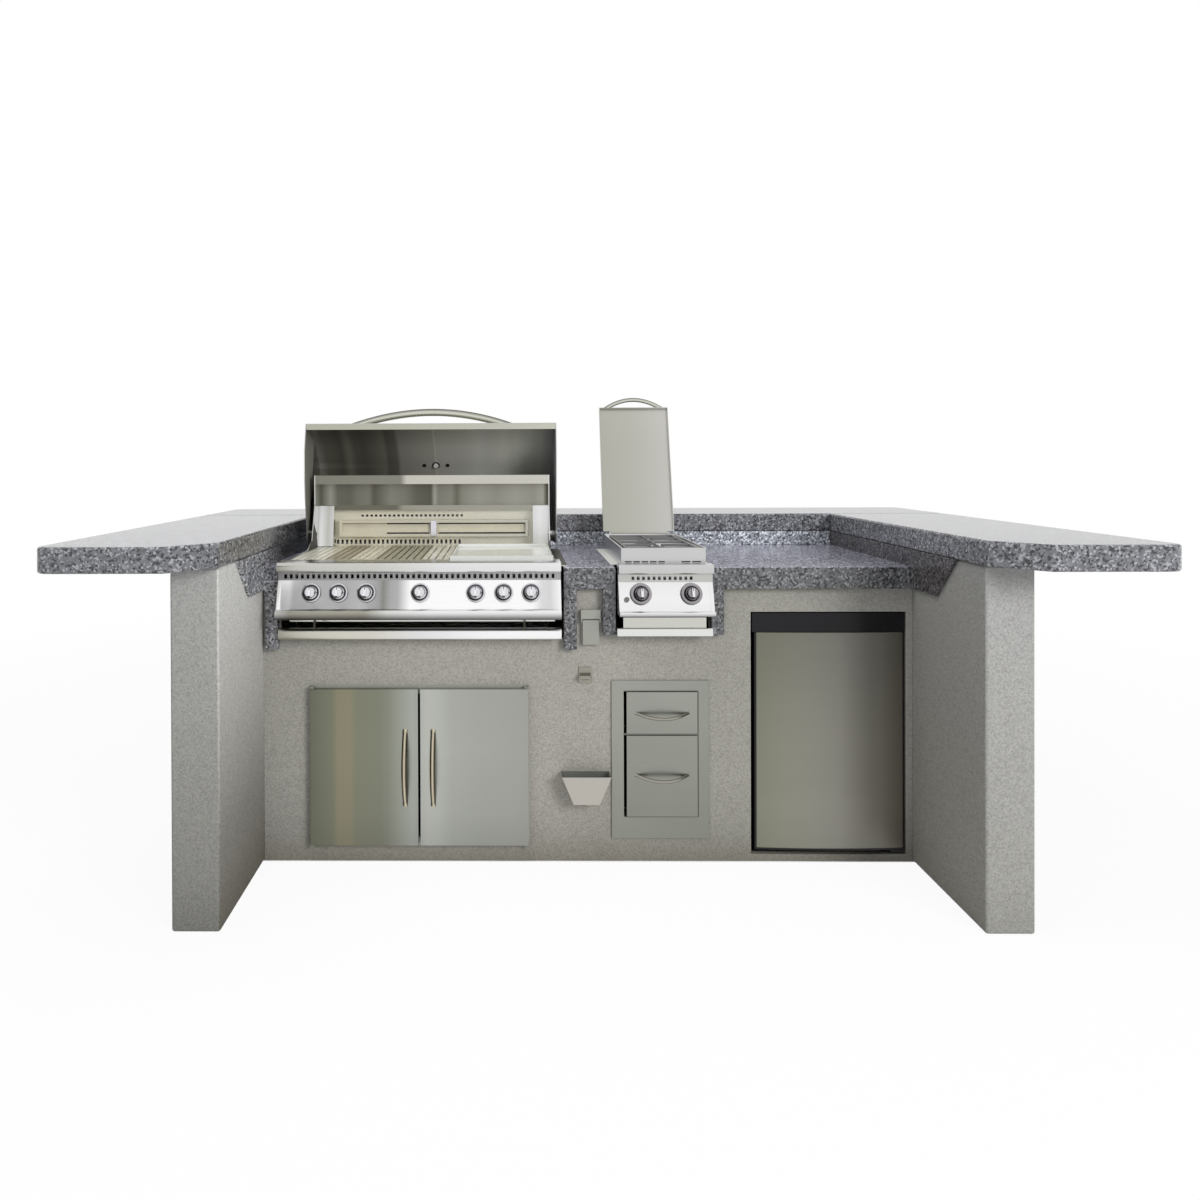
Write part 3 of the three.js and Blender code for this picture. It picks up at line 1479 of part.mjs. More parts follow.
const lidHandleFrame = frameAt(0, -lid.length, (lidZ[0] + lidZ[1]) / 2, lidFrame);
piece("lid_handle", bowHandle(lidHandle), brightSteel, lidHandleFrame);

const wallFrame = frameAt(0, frontY, 0);
piece("door_frame", doorFrame(), steel, wallFrame);
for (const [side, word] of [
  [-1, "left"],
  [1, "right"],
]) {
  piece(`${word}_door`, doorSolid(side), steel, wallFrame);
  const spot = frameAt(
    doorMiddle + side * doorHandle.fromGap,
    doorBack - doors.thickness,
    doorZ[0] + doorHandle.middle * (doorZ[1] - doorZ[0]),
    wallFrame,
  );
  spot.rotation.y = Math.PI / 2;
  piece(`${word}_door_handle`, bowHandle(doorHandle), brightSteel, spot);
}
piece("drawer_cabinet", drawerCabinet(), steel, wallFrame);
piece("upper_drawer", drawerSolid(upperFrontZ, drawerBox.upperHeadGap), steel, wallFrame);
piece("lower_drawer", drawerSolid(lowerFrontZ, drawerBox.lowerHeadGap), steel, wallFrame);
for (const [word, z] of [
  ["upper", (upperFrontZ[0] + upperFrontZ[1]) / 2],
  ["lower", lowerFrontZ[1] - (upperFrontZ[1] - upperFrontZ[0]) * 0.94],
]) {
  const spot = frameAt((drawerFrontX[0] + drawerFrontX[1]) / 2, -seat - drawerFront.proud, z, wallFrame);
  piece(`${word}_drawer_handle`, bowHandle(drawerHandle), brightSteel, spot);
}
piece("fridge_cabinet", fridgeCabinet(), black, wallFrame);
piece("fridge_door", fridgeDoorSolid(), fridgeMetal, wallFrame);
piece("fridge_shelf", fridgeShelf(), brightSteel, wallFrame);

const outletFrame = frameAt(outlet.centre, frontY, 0);
piece("outlet_box", outletBox(), putty, outletFrame);
piece("outlet_flap", flapSolid(), putty, outletFrame);
const openerFrame = frameAt(opener.centre, frontY, 0);
piece("bottle_opener", openerSolid(), brightSteel, openerFrame);
const catcherFrame = frameAt(catcher.centre, frontY, 0);
piece("cap_catcher", catcherSolid(), brightSteel, catcherFrame);

export default group;
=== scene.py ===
# %% [markdown]
# # Outdoor kitchen island
# The island is a U of stucco walls under a polished granite bar. A built-in grill stands open on the left,
# a double side burner in the middle and a compact refrigerator on the right, with doors and drawers below.
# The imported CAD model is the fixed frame: it gives every piece its place, and this notebook gives every
# piece its edges, its small parts and its finish.

# %% Load the frame
import json
import math

import bmesh
import bpy
from mathutils import Matrix, Vector


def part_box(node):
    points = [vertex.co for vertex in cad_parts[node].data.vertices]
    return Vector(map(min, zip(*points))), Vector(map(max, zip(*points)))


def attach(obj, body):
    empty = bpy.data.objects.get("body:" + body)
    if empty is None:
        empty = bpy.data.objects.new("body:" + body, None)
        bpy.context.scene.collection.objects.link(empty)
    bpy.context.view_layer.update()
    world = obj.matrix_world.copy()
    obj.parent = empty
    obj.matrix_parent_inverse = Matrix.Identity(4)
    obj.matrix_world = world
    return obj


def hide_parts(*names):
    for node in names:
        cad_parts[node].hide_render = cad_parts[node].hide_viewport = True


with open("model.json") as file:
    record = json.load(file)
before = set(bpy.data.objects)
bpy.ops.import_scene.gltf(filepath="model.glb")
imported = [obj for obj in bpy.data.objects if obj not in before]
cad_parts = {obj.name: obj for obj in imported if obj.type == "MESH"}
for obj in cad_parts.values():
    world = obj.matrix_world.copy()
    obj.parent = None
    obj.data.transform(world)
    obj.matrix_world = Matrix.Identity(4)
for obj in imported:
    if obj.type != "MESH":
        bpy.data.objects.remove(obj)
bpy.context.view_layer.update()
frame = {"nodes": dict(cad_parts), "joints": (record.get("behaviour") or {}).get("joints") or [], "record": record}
MM = 0.001
body_of_node = {
    node: body
    for body, members in frame["record"]["behaviour"]["bodies"].items()
    for node in members
}
joint_named = {joint["name"]: joint for joint in frame["joints"]}

# %% [markdown]
# ## Reference points
# The appliances sit in cut-outs of the front wall, so their details are measured from three planes: the
# wall's face, the worktop's top and the middle of the appliance. They are read from the frame and not
# written down again, so that both say the same.


# %% Reference points
def middle_of(node):
    low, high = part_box(node)
    return (low + high) / 2


def exact(value, digits=4):
    """A length of the frame without the noise of single precision."""
    return round(value, digits)


wall_face = exact(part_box("front_wall")[0].y)
worktop_top = exact(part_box("worktop")[1].z)
GRILL = Vector((exact(middle_of("grill_firebox").x), wall_face, worktop_top))
COOKER = Vector((exact(middle_of("side_burner_box").x), wall_face, worktop_top))
print("grill at", tuple(GRILL), "side burner at", tuple(COOKER))

# %% [markdown]
# ## Camera
# The photograph looks straight at the front wall from just inside the open side of the U, at about eye
# height, through a wide lens. The lens shift moves the frame without turning the camera, so the walls stay
# upright.

# %% Camera
FOCAL_PIXELS = 815.7
PHOTO_PIXELS = 1200
SENSOR_WIDTH = 36
LENS_SHIFT = (0.0817, -0.1151)
EYE = (-0.268, -3.207, 1.448)
YAW, PITCH, ROLL = 0.0113, -0.0047, -0.0037  # radians away from a level camera that looks along +Y

camera_data = bpy.data.cameras.new("camera")
camera_data.sensor_width = SENSOR_WIDTH
camera_data.lens = SENSOR_WIDTH * FOCAL_PIXELS / PHOTO_PIXELS
camera_data.shift_x, camera_data.shift_y = LENS_SHIFT
camera = bpy.data.objects.new("camera", camera_data)
camera.location = EYE
level = Matrix.Rotation(math.radians(90) + PITCH, 4, "X")
turn = Matrix.Rotation(YAW, 4, "Z") @ level @ Matrix.Rotation(ROLL, 4, "Z")
camera.rotation_euler = turn.to_euler()
bpy.context.scene.collection.objects.link(camera)
bpy.context.scene.camera = camera
print("camera lens", round(camera_data.lens, 2), "mm at", tuple(camera.location))

# %% [markdown]
# ## Shader nodes in short calls
# A material is a small tree of nodes. Adding them one by one takes a line for every setting and link, so a
# few short functions add a node with its settings, and return what it puts out.


# %% Node helpers
def put(tree, kind, inputs=None, **settings):
    """Adds a shader node. An input is a socket to link or a plain value to set."""
    made = tree.nodes.new(kind)
    for key, value in settings.items():
        setattr(made, key, value)
    for key, value in (inputs or {}).items():
        if isinstance(value, bpy.types.NodeSocket):
            tree.links.new(value, made.inputs[key])
        else:
            made.inputs[key].default_value = value
    return made


def figured(tree, operation, *values):
    """The result of a maths node on sockets or numbers."""
    return put(tree, "ShaderNodeMath", dict(enumerate(values)), operation=operation).outputs[0]


def combined(tree, operation, *values):
    """The result of a vector maths node on sockets or vectors."""
    made = put(tree, "ShaderNodeVectorMath", dict(enumerate(values)), operation=operation)
    return made.outputs["Value" if operation in ("LENGTH", "DOT_PRODUCT") else "Vector"]


def scaled(tree, vector, share):
    """A vector or colour times one number."""
    return put(tree, "ShaderNodeVectorMath", {0: vector, "Scale": share}, operation="SCALE").outputs["Vector"]


def mixed(tree, first, second, share=1.0, blend="MIX"):
    """The colour that a mix node makes of two colours."""
    inputs = {0: share, 6: first, 7: second}
    return put(tree, "ShaderNodeMix", inputs, data_type="RGBA", blend_type=blend).outputs[2]


def mapped(tree, value, before, after=(0.0, 1.0)):
    """A value moved from one range to another, and kept inside it."""
    ends = {"From Min": before[0], "From Max": before[1], "To Min": after[0], "To Max": after[1]}
    return put(tree, "ShaderNodeMapRange", {"Value": value, **ends}).outputs[0]


print("node helpers ready")

# %% [markdown]
# ## Surround
# The object stands in a plain white studio. Light Path tells the rays that are seen, by the camera or in a
# reflection, from the rays that only carry light. The seen surround is pure white, and as a light it is
# softer, so that stucco and stone render about in the colour that they are given.

# %% Surround
WHITE = (1, 1, 1, 1)
SKY_TINT = (0.96, 0.98, 1, 1)
SKY_LIGHT = 0.5


def seen_directly(tree):
    """1 for rays that are seen, directly or in a reflection, and 0 for rays that only carry light."""
    path = put(tree, "ShaderNodeLightPath")
    seen = figured(tree, "MAXIMUM", path.outputs["Is Camera Ray"], path.outputs["Is Glossy Ray"])
    return figured(tree, "MAXIMUM", seen, path.outputs["Is Transmission Ray"])


world = bpy.data.worlds.new("surround")
bpy.context.scene.world = world
world.use_nodes = True
tree = world.node_tree
tree.nodes.clear()
soft = put(tree, "ShaderNodeBackground", {"Color": SKY_TINT, "Strength": SKY_LIGHT})
plain = put(tree, "ShaderNodeBackground", {"Color": WHITE, "Strength": 1.0})
both = put(tree, "ShaderNodeMixShader", {0: seen_directly(tree), 1: soft.outputs[0], 2: plain.outputs[0]})
put(tree, "ShaderNodeOutputWorld", {"Surface": both.outputs[0]})
bpy.context.scene.view_settings.view_transform = "Standard"
print("the surround lights with", SKY_LIGHT, "of its seen white")

# %% [markdown]
# ## Floor
# The photograph was cut out on white, with hardly a shadow. A floor that only glows white would show no
# shadow at all, and a matt one would be grey. So the floor mixes the two: mostly glow near the island, all
# glow further off, and matt between the walls, where a glow would shine up from under the appliances.

# %% Floor
FLOOR_HALF = 30.0
FLOOR_GREY = (0.86, 0.86, 0.86, 1)
SHADOW_FADE = (2.2, 6.0)  # metres from the island's middle
GLOW_SHARE = (0.92, 1.0)  # at the start and at the end of the fade
BETWEEN_WALLS = ((0, 0.165, 0), (1.31, 0.45))  # middle and half size of the matt part

corners = [(x * FLOOR_HALF, y * FLOOR_HALF, 0) for x, y in ((-1, -1), (1, -1), (1, 1), (-1, 1))]
floor_mesh = bpy.data.meshes.new("floor")
floor_mesh.from_pydata(corners, [], [(0, 1, 2, 3)])
floor = bpy.data.objects.new("floor", floor_mesh)
bpy.context.scene.collection.objects.link(floor)

floor_finish = bpy.data.materials.new("pale_floor")
floor_finish.use_nodes = True
tree = floor_finish.node_tree
tree.nodes.clear()
spot = put(tree, "ShaderNodeTexCoord").outputs["Object"]
far = mapped(tree, combined(tree, "LENGTH", spot), SHADOW_FADE, GLOW_SHARE)
offset = combined(tree, "ABSOLUTE", combined(tree, "SUBTRACT", spot, BETWEEN_WALLS[0]))
parts = put(tree, "ShaderNodeSeparateXYZ", {0: offset})
beside = figured(tree, "GREATER_THAN", parts.outputs[0], BETWEEN_WALLS[1][0])
before = figured(tree, "GREATER_THAN", parts.outputs[1], BETWEEN_WALLS[1][1])
glowing = figured(tree, "MULTIPLY", seen_directly(tree), far)
glowing = figured(tree, "MULTIPLY", glowing, figured(tree, "MAXIMUM", beside, before))
matt = put(tree, "ShaderNodeBsdfDiffuse", {"Color": FLOOR_GREY})
glow = put(tree, "ShaderNodeEmission", {"Color": WHITE, "Strength": 1.0})
both = put(tree, "ShaderNodeMixShader", {0: glowing, 1: matt.outputs[0], 2: glow.outputs[0]})
put(tree, "ShaderNodeOutputMaterial", {"Surface": both.outputs[0]})
floor_mesh.materials.append(floor_finish)
print("floor", 2 * FLOOR_HALF, "m wide")

# %% [markdown]
# ## Lamps
# One wide lamp on the right front makes the left wing's inner face bright and leaves the right wing's inner
# face in shade, as outdoors. A weaker one above lights the worktop. Disks give soft shadow edges, and they
# are hidden from reflections, so that no round spot shows in the steel.


# %% Lamps
def area_lamp(name, place, aim, size, power):
    data = bpy.data.lights.new(name, "AREA")
    data.shape = "DISK"
    data.size = size
    data.energy = power
    lamp = bpy.data.objects.new(name, data)
    lamp.location = place
    lamp.rotation_euler = (Vector(aim) - Vector(place)).to_track_quat("-Z", "Y").to_euler()
    lamp.visible_glossy = False
    bpy.context.scene.collection.objects.link(lamp)


area_lamp("right_front_lamp", place=(5.0, -6.6, 4.2), aim=(0.2, 0, 0.7), size=3.6, power=470)
area_lamp("top_lamp", place=(-1.5, -1.0, 4.6), aim=(0, 0, 0.8), size=3.0, power=90)

# %% [markdown]
# ## Dressing a solid
# Real edges are never knife sharp: a trowelled corner rounds at 9 mm, stone is eased by 1 to 8 mm and
# folded sheet by about 1 mm. The light on these roundings is what makes a model look real. `dressed` copies
# a solid, welds it, melts the triangles of each flat face together and bevels the edges that are left. It
# can give groups of faces, called zones, finishes of their own, and cut slots with a boolean.


# %% Modifiers made final
def baked(piece):
    """Applies the piece's modifiers."""
    graph = bpy.context.evaluated_depsgraph_get()
    made = bpy.data.meshes.new_from_object(piece.evaluated_get(graph))
    piece.modifiers.clear()
    old = piece.data
    piece.data = made
    made.name = piece.name
    bpy.data.meshes.remove(old)
    return piece


BEVEL_ANGLE = 32  # degrees between two faces from which their edge is rounded
SHARP_ANGLE = 40  # degrees from which an edge that is left stays sharp in the shading


def eased(piece, bevel, segments=2):
    """Rounds the edges that turn by more than an angle, and shades flat faces flat."""
    if bevel:
        round_edges = piece.modifiers.new("edges", "BEVEL")
        round_edges.width = bevel
        round_edges.segments = segments
        round_edges.limit_method = "ANGLE"
        round_edges.angle_limit = math.radians(BEVEL_ANGLE)
        round_edges.harden_normals = True
        round_edges.use_clamp_overlap = True
    for polygon in piece.data.polygons:
        polygon.use_smooth = True
    piece.data.set_sharp_from_angle(angle=math.radians(SHARP_ANGLE))
    return baked(piece)


print("edges that turn by more than", BEVEL_ANGLE, "degrees are rounded")


# %% Copy of a solid
WELD = 2e-5
FLAT = math.radians(0.5)


def placed(name, mesh, body, stands_for=()):
    piece = bpy.data.objects.new(name, mesh)
    bpy.context.scene.collection.objects.link(piece)
    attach(piece, body)
    if stands_for:
        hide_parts(*stands_for)
    return piece


def dressed(node, material, bevel, segments=2, zones=(), cutter=None, merged=True):
    """An eased copy that stands for a solid. A zone is a finish and a test of a face's middle and normal."""
    mesh = bpy.data.meshes.new(node + "_piece")
    work = bmesh.new()
    work.from_mesh(frame["nodes"][node].data)
    bmesh.ops.remove_doubles(work, verts=work.verts, dist=WELD)
    if merged:
        bmesh.ops.dissolve_limit(work, angle_limit=FLAT, verts=work.verts, edges=work.edges)
    for face in work.faces:
        middle = face.calc_center_median()
        hits = [index + 1 for index, (_, test) in enumerate(zones) if test(middle, face.normal)]
        face.material_index = hits[0] if hits else 0
    work.to_mesh(mesh)
    work.free()
    for choice in (material, *(zone for zone, _ in zones)):
        mesh.materials.append(choice)
    piece = placed(mesh.name, mesh, body_of_node[node], [node])
    if cutter:
        carve = piece.modifiers.new("slots", "BOOLEAN")
        carve.object = cutter
        carve.solver = "EXACT"
        baked(piece)
        bpy.data.objects.remove(cutter)
    return eased(piece, bevel * MM, segments)


SQUARE = 0.9


def looks(normal, way):
    """Whether a face looks along one way of an axis, such as +x."""
    share = normal["xyz".index(way[1])]
    return (share if way[0] == "+" else -share) > SQUARE


print("solids can be dressed")

# %% [markdown]
# ## New shapes
# Details that are too small for the CAD model are built from their points and faces. Round ones are turned
# about an axis, like work on a lathe. Bars and wires are swept along a path, and plates are outlines pushed
# along an axis. Building them from numbers, not from ready primitives, gives each its true outline and
# leaves no hidden faces.


# %% Turned shapes
def turned(profile, sides, place=Matrix(), ring=False):
    """[radius, height] points turned about Z. A radius of 0 closes on the axis, a ring closes on itself."""
    points, faces, rows = [], [], []
    for radius, height in profile:
        count = sides if radius else 1
        rows.append([len(points) + i for i in range(count)])
        for i in range(count):
            angle = 2 * math.pi * i / count
            points.append(place @ Vector((radius * math.cos(angle), radius * math.sin(angle), height)))
    for lower, upper in zip(rows, rows[1:] + rows[:1] if ring else rows[1:]):
        for i in range(sides):
            around = [lower[i % len(lower)], lower[(i + 1) % len(lower)]]
            around += [upper[(i + 1) % len(upper)], upper[i % len(upper)]]
            distinct = list(dict.fromkeys(around))
            if len(distinct) > 2:
                faces.append(distinct)
    return points, faces


print("turning ready")


# %% Swept bars
def swept(path, radius, sides=14):
    """A round bar along a path, with flat ends."""
    path = [Vector(point) for point in path]
    last = len(path) - 1
    points = []
    side = None
    for index, here in enumerate(path):
        along = (path[min(index + 1, last)] - path[max(index - 1, 0)]).normalized()
        if side is None:
            side = along.orthogonal().normalized()
        side = (side - along * side.dot(along)).normalized()
        other = along.cross(side)
        for i in range(sides):
            angle = 2 * math.pi * i / sides
            points.append(here + radius * (math.cos(angle) * side + math.sin(angle) * other))
    faces = []
    for row in range(last):
        low, high = row * sides, (row + 1) * sides
        for i in range(sides):
            j = (i + 1) % sides
            faces.append([low + i, low + j, high + j, high + i])
    faces.append(list(range(sides))[::-1])
    faces.append([last * sides + i for i in range(sides)])
    return points, faces


print("sweeping ready")


# %% Pushed outlines
def pushed(outline, axis, low, high, place=Matrix()):
    """An outline pushed along an axis. It is drawn in the other two axes, in X, Y, Z order."""
    count = len(outline)
    order = {"x": (2, 0, 1), "y": (0, 2, 1), "z": (0, 1, 2)}[axis]
    points = [place @ Vector([(u, v, level)[i] for i in order]) for level in (low, high) for u, v in outline]
    faces = [list(range(count))[::-1], list(range(count, 2 * count))]
    for i in range(count):
        j = (i + 1) % count
        faces.append([i, j, count + j, count + i])
    return points, faces


def bar(low, high, place=Matrix()):
    """A square bar between two corners."""
    (x0, y0, z0), (x1, y1, z1) = low, high
    return pushed([(x0, y0), (x1, y0), (x1, y1), (x0, y1)], "z", z0, z1, place)


print("pushing ready")


# %% Shapes joined into a piece
def shape_mesh(name, shapes):
    """One mesh of several (shape, material) pairs, with each shape's faces turned outwards."""
    mesh = bpy.data.meshes.new(name)
    points, faces, picks, materials = [], [], [], []
    for (shape_points, shape_faces), material in shapes:
        if material not in materials:
            materials.append(material)
        faces += [[len(points) + i for i in face] for face in shape_faces]
        picks += [materials.index(material)] * len(shape_faces)
        points += shape_points
    mesh.from_pydata(points, [], faces)
    for material in materials:
        mesh.materials.append(material)
    mesh.polygons.foreach_set("material_index", picks)
    work = bmesh.new()
    work.from_mesh(mesh)
    bmesh.ops.recalc_face_normals(work, faces=work.faces)
    if work.calc_volume(signed=True) < 0:
        bmesh.ops.reverse_faces(work, faces=work.faces)
    work.to_mesh(mesh)
    work.free()
    return mesh


def assembled(name, shapes, body, bevel=0.0, segments=2, stands_for=()):
    piece = placed(name, shape_mesh(name, shapes), body, stands_for)
    return eased(piece, bevel * MM, segments)


def remade(node, shapes, bevel=0.0, segments=2):
    """A piece of new shapes that stands for a solid."""
    return assembled(node + "_piece", shapes, body_of_node[node], bevel, segments, [node])


def cutting(name, shapes):
    """A throwaway object that cuts another."""
    cutter = bpy.data.objects.new(name, shape_mesh(name, [(shape, None) for shape in shapes]))
    bpy.context.scene.collection.objects.link(cutter)
    return cutter


print("shapes can be joined")

# %% [markdown]
# ## Grains
# Granite is a mass of dark, grey and pale grains, and stucco holds grains of sand. Both are a Voronoi
# pattern whose cells get one of three colours by chance. An image would repeat and blur close up, and a
# noise ramp has no hard grain edges. The pattern is a node group, so that both finishes share it, each with
# its own size and colours.


# %% Start a shader group
def shader_group(name, inputs, outputs):
    group = bpy.data.node_groups.new(name, "ShaderNodeTree")
    for label, kind, value in inputs:
        socket = group.interface.new_socket(label, in_out="INPUT", socket_type=kind)
        socket.default_value = value
    for label, kind in outputs:
        group.interface.new_socket(label, in_out="OUTPUT", socket_type=kind)
    return group, put(group, "NodeGroupInput").outputs, group.nodes.new("NodeGroupOutput").inputs


print("shader groups can be built")


# %% Grains
GRAIN_WOBBLE = (0.008, 0.008, 0.008)  # metres by which the grains' edges are bent

flecks, given, result = shader_group(
    "flecks",
    [
        ("Vector", "NodeSocketVector", (0, 0, 0)),
        ("Grains per metre", "NodeSocketFloat", 150.0),
        ("Dark", "NodeSocketColor", (0.02, 0.02, 0.03, 1)),
        ("Middle", "NodeSocketColor", (0.15, 0.16, 0.2, 1)),
        ("Light", "NodeSocketColor", (0.7, 0.7, 0.72, 1)),
        ("Dark share", "NodeSocketFloat", 0.3),
        ("Light share", "NodeSocketFloat", 0.12),
        ("Spread", "NodeSocketFloat", 0.5),
    ],
    [("Color", "NodeSocketColor"), ("Height", "NodeSocketFloat")],
)
wobble = put(flecks, "ShaderNodeTexNoise", {"Vector": given["Vector"], "Scale": 90.0, "Detail": 2.0})
bent = combined(flecks, "MULTIPLY", wobble.outputs["Color"], GRAIN_WOBBLE)
bent = combined(flecks, "ADD", bent, given["Vector"])
cells = {"Vector": bent, "Scale": given["Grains per metre"], "Randomness": 1.0}
grains = put(flecks, "ShaderNodeTexVoronoi", cells)
chance = put(flecks, "ShaderNodeSeparateColor", {"Color": grains.outputs["Color"]}).outputs
is_dark = figured(flecks, "LESS_THAN", chance[0], given["Dark share"])
is_light = figured(flecks, "LESS_THAN", chance[1], given["Light share"])
shade = figured(flecks, "MULTIPLY_ADD", figured(flecks, "SUBTRACT", chance[2], 0.5), given["Spread"], 1.0)
color = mixed(flecks, given["Middle"], shade, blend="MULTIPLY")
color = mixed(flecks, color, given["Dark"], is_dark)
color = mixed(flecks, color, given["Light"], is_light)
flecks.links.new(color, result["Color"])
flecks.links.new(grains.outputs["Distance"], result["Height"])
print("grains", [socket.name for socket in given if socket.name])

# %% [markdown]
# ## Brushing
# Satin steel is rubbed with a belt, which leaves fine parallel scratches, and its wide faces mirror the
# surroundings as soft bands. Noise that is squeezed across the scratches draws them, and a second, slower
# noise paints those soft bands into the colour as a painted reflection. The group also puts out the
# scratches as a height and as a change of polish, so that highlights spread along them.

# %% Brushing
brushing, given, result = shader_group(
    "brushing",
    [
        ("Vector", "NodeSocketVector", (0, 0, 0)),
        ("Stretch", "NodeSocketVector", (2, 900, 900)),
        ("Bands", "NodeSocketVector", (2, 0, 0)),
        ("Streaks", "NodeSocketFloat", 0.1),
        ("Tones", "NodeSocketFloat", 0.15),
        ("Color", "NodeSocketColor", (0.5, 0.5, 0.5, 1)),
    ],
    [("Color", "NodeSocketColor"), ("Height", "NodeSocketFloat"), ("Polish", "NodeSocketFloat")],
)


def stretched_noise(by, detail, roughness):
    """Noise on coordinates that are stretched by one of the group's inputs."""
    place = combined(brushing, "MULTIPLY", given["Vector"], given[by])
    values = {"Vector": place, "Scale": 1.0, "Detail": detail, "Roughness": roughness}
    return put(brushing, "ShaderNodeTexNoise", values).outputs[0]


def swing(noise, by):
    """The noise as a change to both sides of 0, times one of the group's inputs."""
    return figured(brushing, "MULTIPLY", figured(brushing, "SUBTRACT", noise, 0.5), given[by])


lines = stretched_noise("Stretch", 3.0, 0.7)
streak = swing(lines, "Streaks")
# painted reflection: slow bands of lighter and darker tone
tone = swing(stretched_noise("Bands", 2.0, 0.6), "Tones")
total = figured(brushing, "ADD", figured(brushing, "ADD", streak, tone), 1.0)
brushing.links.new(scaled(brushing, given["Color"], total), result["Color"])
brushing.links.new(lines, result["Height"])
brushing.links.new(streak, result["Polish"])
print("brushing", [socket.name for socket in given if socket.name])

# %% [markdown]
# ## Weathering
# Outdoors, every surface gets slightly uneven, and rain splashes dirt on what is near the ground. A large
# soft noise darkens patches, and a ramp over the lowest 16 cm darkens the foot. One group serves walls,
# stone, iron and plastic.

# %% Weathering
SPLASH_HEIGHT = 0.16

weathering, given, result = shader_group(
    "weathering",
    [
        ("Vector", "NodeSocketVector", (0, 0, 0)),
        ("Color", "NodeSocketColor", (0.5, 0.5, 0.5, 1)),
        ("Patch size", "NodeSocketFloat", 2.0),
        ("Patches", "NodeSocketFloat", 0.1),
        ("Ground dirt", "NodeSocketFloat", 0.1),
    ],
    [("Color", "NodeSocketColor")],
)
patches = {"Vector": given["Vector"], "Scale": given["Patch size"], "Detail": 5.0, "Roughness": 0.65}
cloud = put(weathering, "ShaderNodeTexNoise", patches).outputs[0]
height = put(weathering, "ShaderNodeSeparateXYZ", {0: given["Vector"]}).outputs[2]
low = mapped(weathering, height, (0.0, SPLASH_HEIGHT), (1.0, 0.0))
cloud_loss = figured(weathering, "MULTIPLY", cloud, given["Patches"])
dirt_loss = figured(weathering, "MULTIPLY", low, given["Ground dirt"])
kept = figured(weathering, "SUBTRACT", 1.0, figured(weathering, "ADD", cloud_loss, dirt_loss))
weathering.links.new(scaled(weathering, given["Color"], kept), result["Color"])
print("shader groups", [group.name for group in bpy.data.node_groups])

# %% [markdown]
# ## Start of a material
# Every finish starts from one Principled shader and the object's own coordinates, which are metres in this
# frame. A texture on them has the same grain size on every piece, and needs no unwrapping.


# %% Start a material
def blank(name, **values):
    """A material with one Principled shader: the material, its tree, the shader and object coordinates."""
    material = bpy.data.materials.new(name)
    material.use_nodes = True
    tree = material.node_tree
    tree.nodes.clear()
    inputs = {key.replace("_", " "): value for key, value in values.items()}
    shader = put(tree, "ShaderNodeBsdfPrincipled", inputs)
    put(tree, "ShaderNodeOutputMaterial", {"Surface": shader.outputs[0]})
    return material, tree, shader, put(tree, "ShaderNodeTexCoord").outputs["Object"]


def grouped(tree, group, **inputs):
    """Places a shader group with its own values."""
    made = tree.nodes.new("ShaderNodeGroup")
    made.node_tree = group
    for key, value in inputs.items():
        socket = made.inputs[key.replace("_", " ")]
        if isinstance(value, bpy.types.NodeSocket):
            tree.links.new(value, socket)
        else:
            socket.default_value = value
    return made.outputs


def bumped(tree, shader, height, strength, depth):
    bump = put(tree, "ShaderNodeBump", {"Strength": strength, "Distance": depth, "Height": height})
    tree.links.new(bump.outputs[0], shader.inputs["Normal"])


def linear(red, green, blue):
    """The shader colour of an 8-bit screen colour."""
    tones = (((c / 255 + 0.055) / 1.055) ** 2.4 if c > 10 else c / 255 / 12.92 for c in (red, green, blue))
    return (*tones, 1)


print("a middle grey is", round(linear(128, 128, 128)[0], 3), "to a shader")

# %% [markdown]
# ## Colours that change along an axis
# Brushed steel mirrors the yard around it as upright bands, and a wall is in shade towards its foot. The
# studio is white, so such slow changes are painted into the finish as a colour ramp along one of the object's
# axes: painted reflections and painted light and shade. They are fixed to the surface, so they turn with the
# piece in every pose.


# %% Graded colours
def graded(axis, *stops):
    """A colour from stops along an axis: metres, then one grey or three 8-bit tones."""

    def tone(stop):
        return linear(*stop[1:]) if len(stop) == 4 else linear(*stop[1:] * 3)

    def build(tree, vector):
        start, end = stops[0][0], stops[-1][0]
        parts = put(tree, "ShaderNodeSeparateXYZ", {0: vector})
        along = mapped(tree, parts.outputs["XYZ".index(axis)], (start, end))
        ramp = put(tree, "ShaderNodeValToRGB", {"Fac": along})
        marks = ramp.color_ramp.elements
        marks[0].color, marks[1].color = tone(stops[0]), tone(stops[-1])
        for stop in stops[1:-1]:
            marks.new((stop[0] - start) / (end - start)).color = tone(stop)
        return ramp.outputs["Color"]

    return build


def crossed(first, second):
    """Two graded colours, one laid over the other. A tone of 255 leaves the other as it is."""
    return lambda tree, vector: mixed(tree, first(tree, vector), second(tree, vector), blend="MULTIPLY")


def laid(color, tree, vector):
    """A colour's socket or value in a tree, whether it is graded or plain."""
    return color(tree, vector) if callable(color) else color


print("graded colours ready")

# %% [markdown]
# ## Stucco
# Stucco is sand and cement, rubbed flat with a float, so it is warm grey and quite rough, with single
# grains that show as a fine speckle. The grains carry both the speckle and, with a noise, the bumps. A
# displaced mesh would need millions of faces for grains that are a millimetre high, and a bump map looks
# the same from a step away.


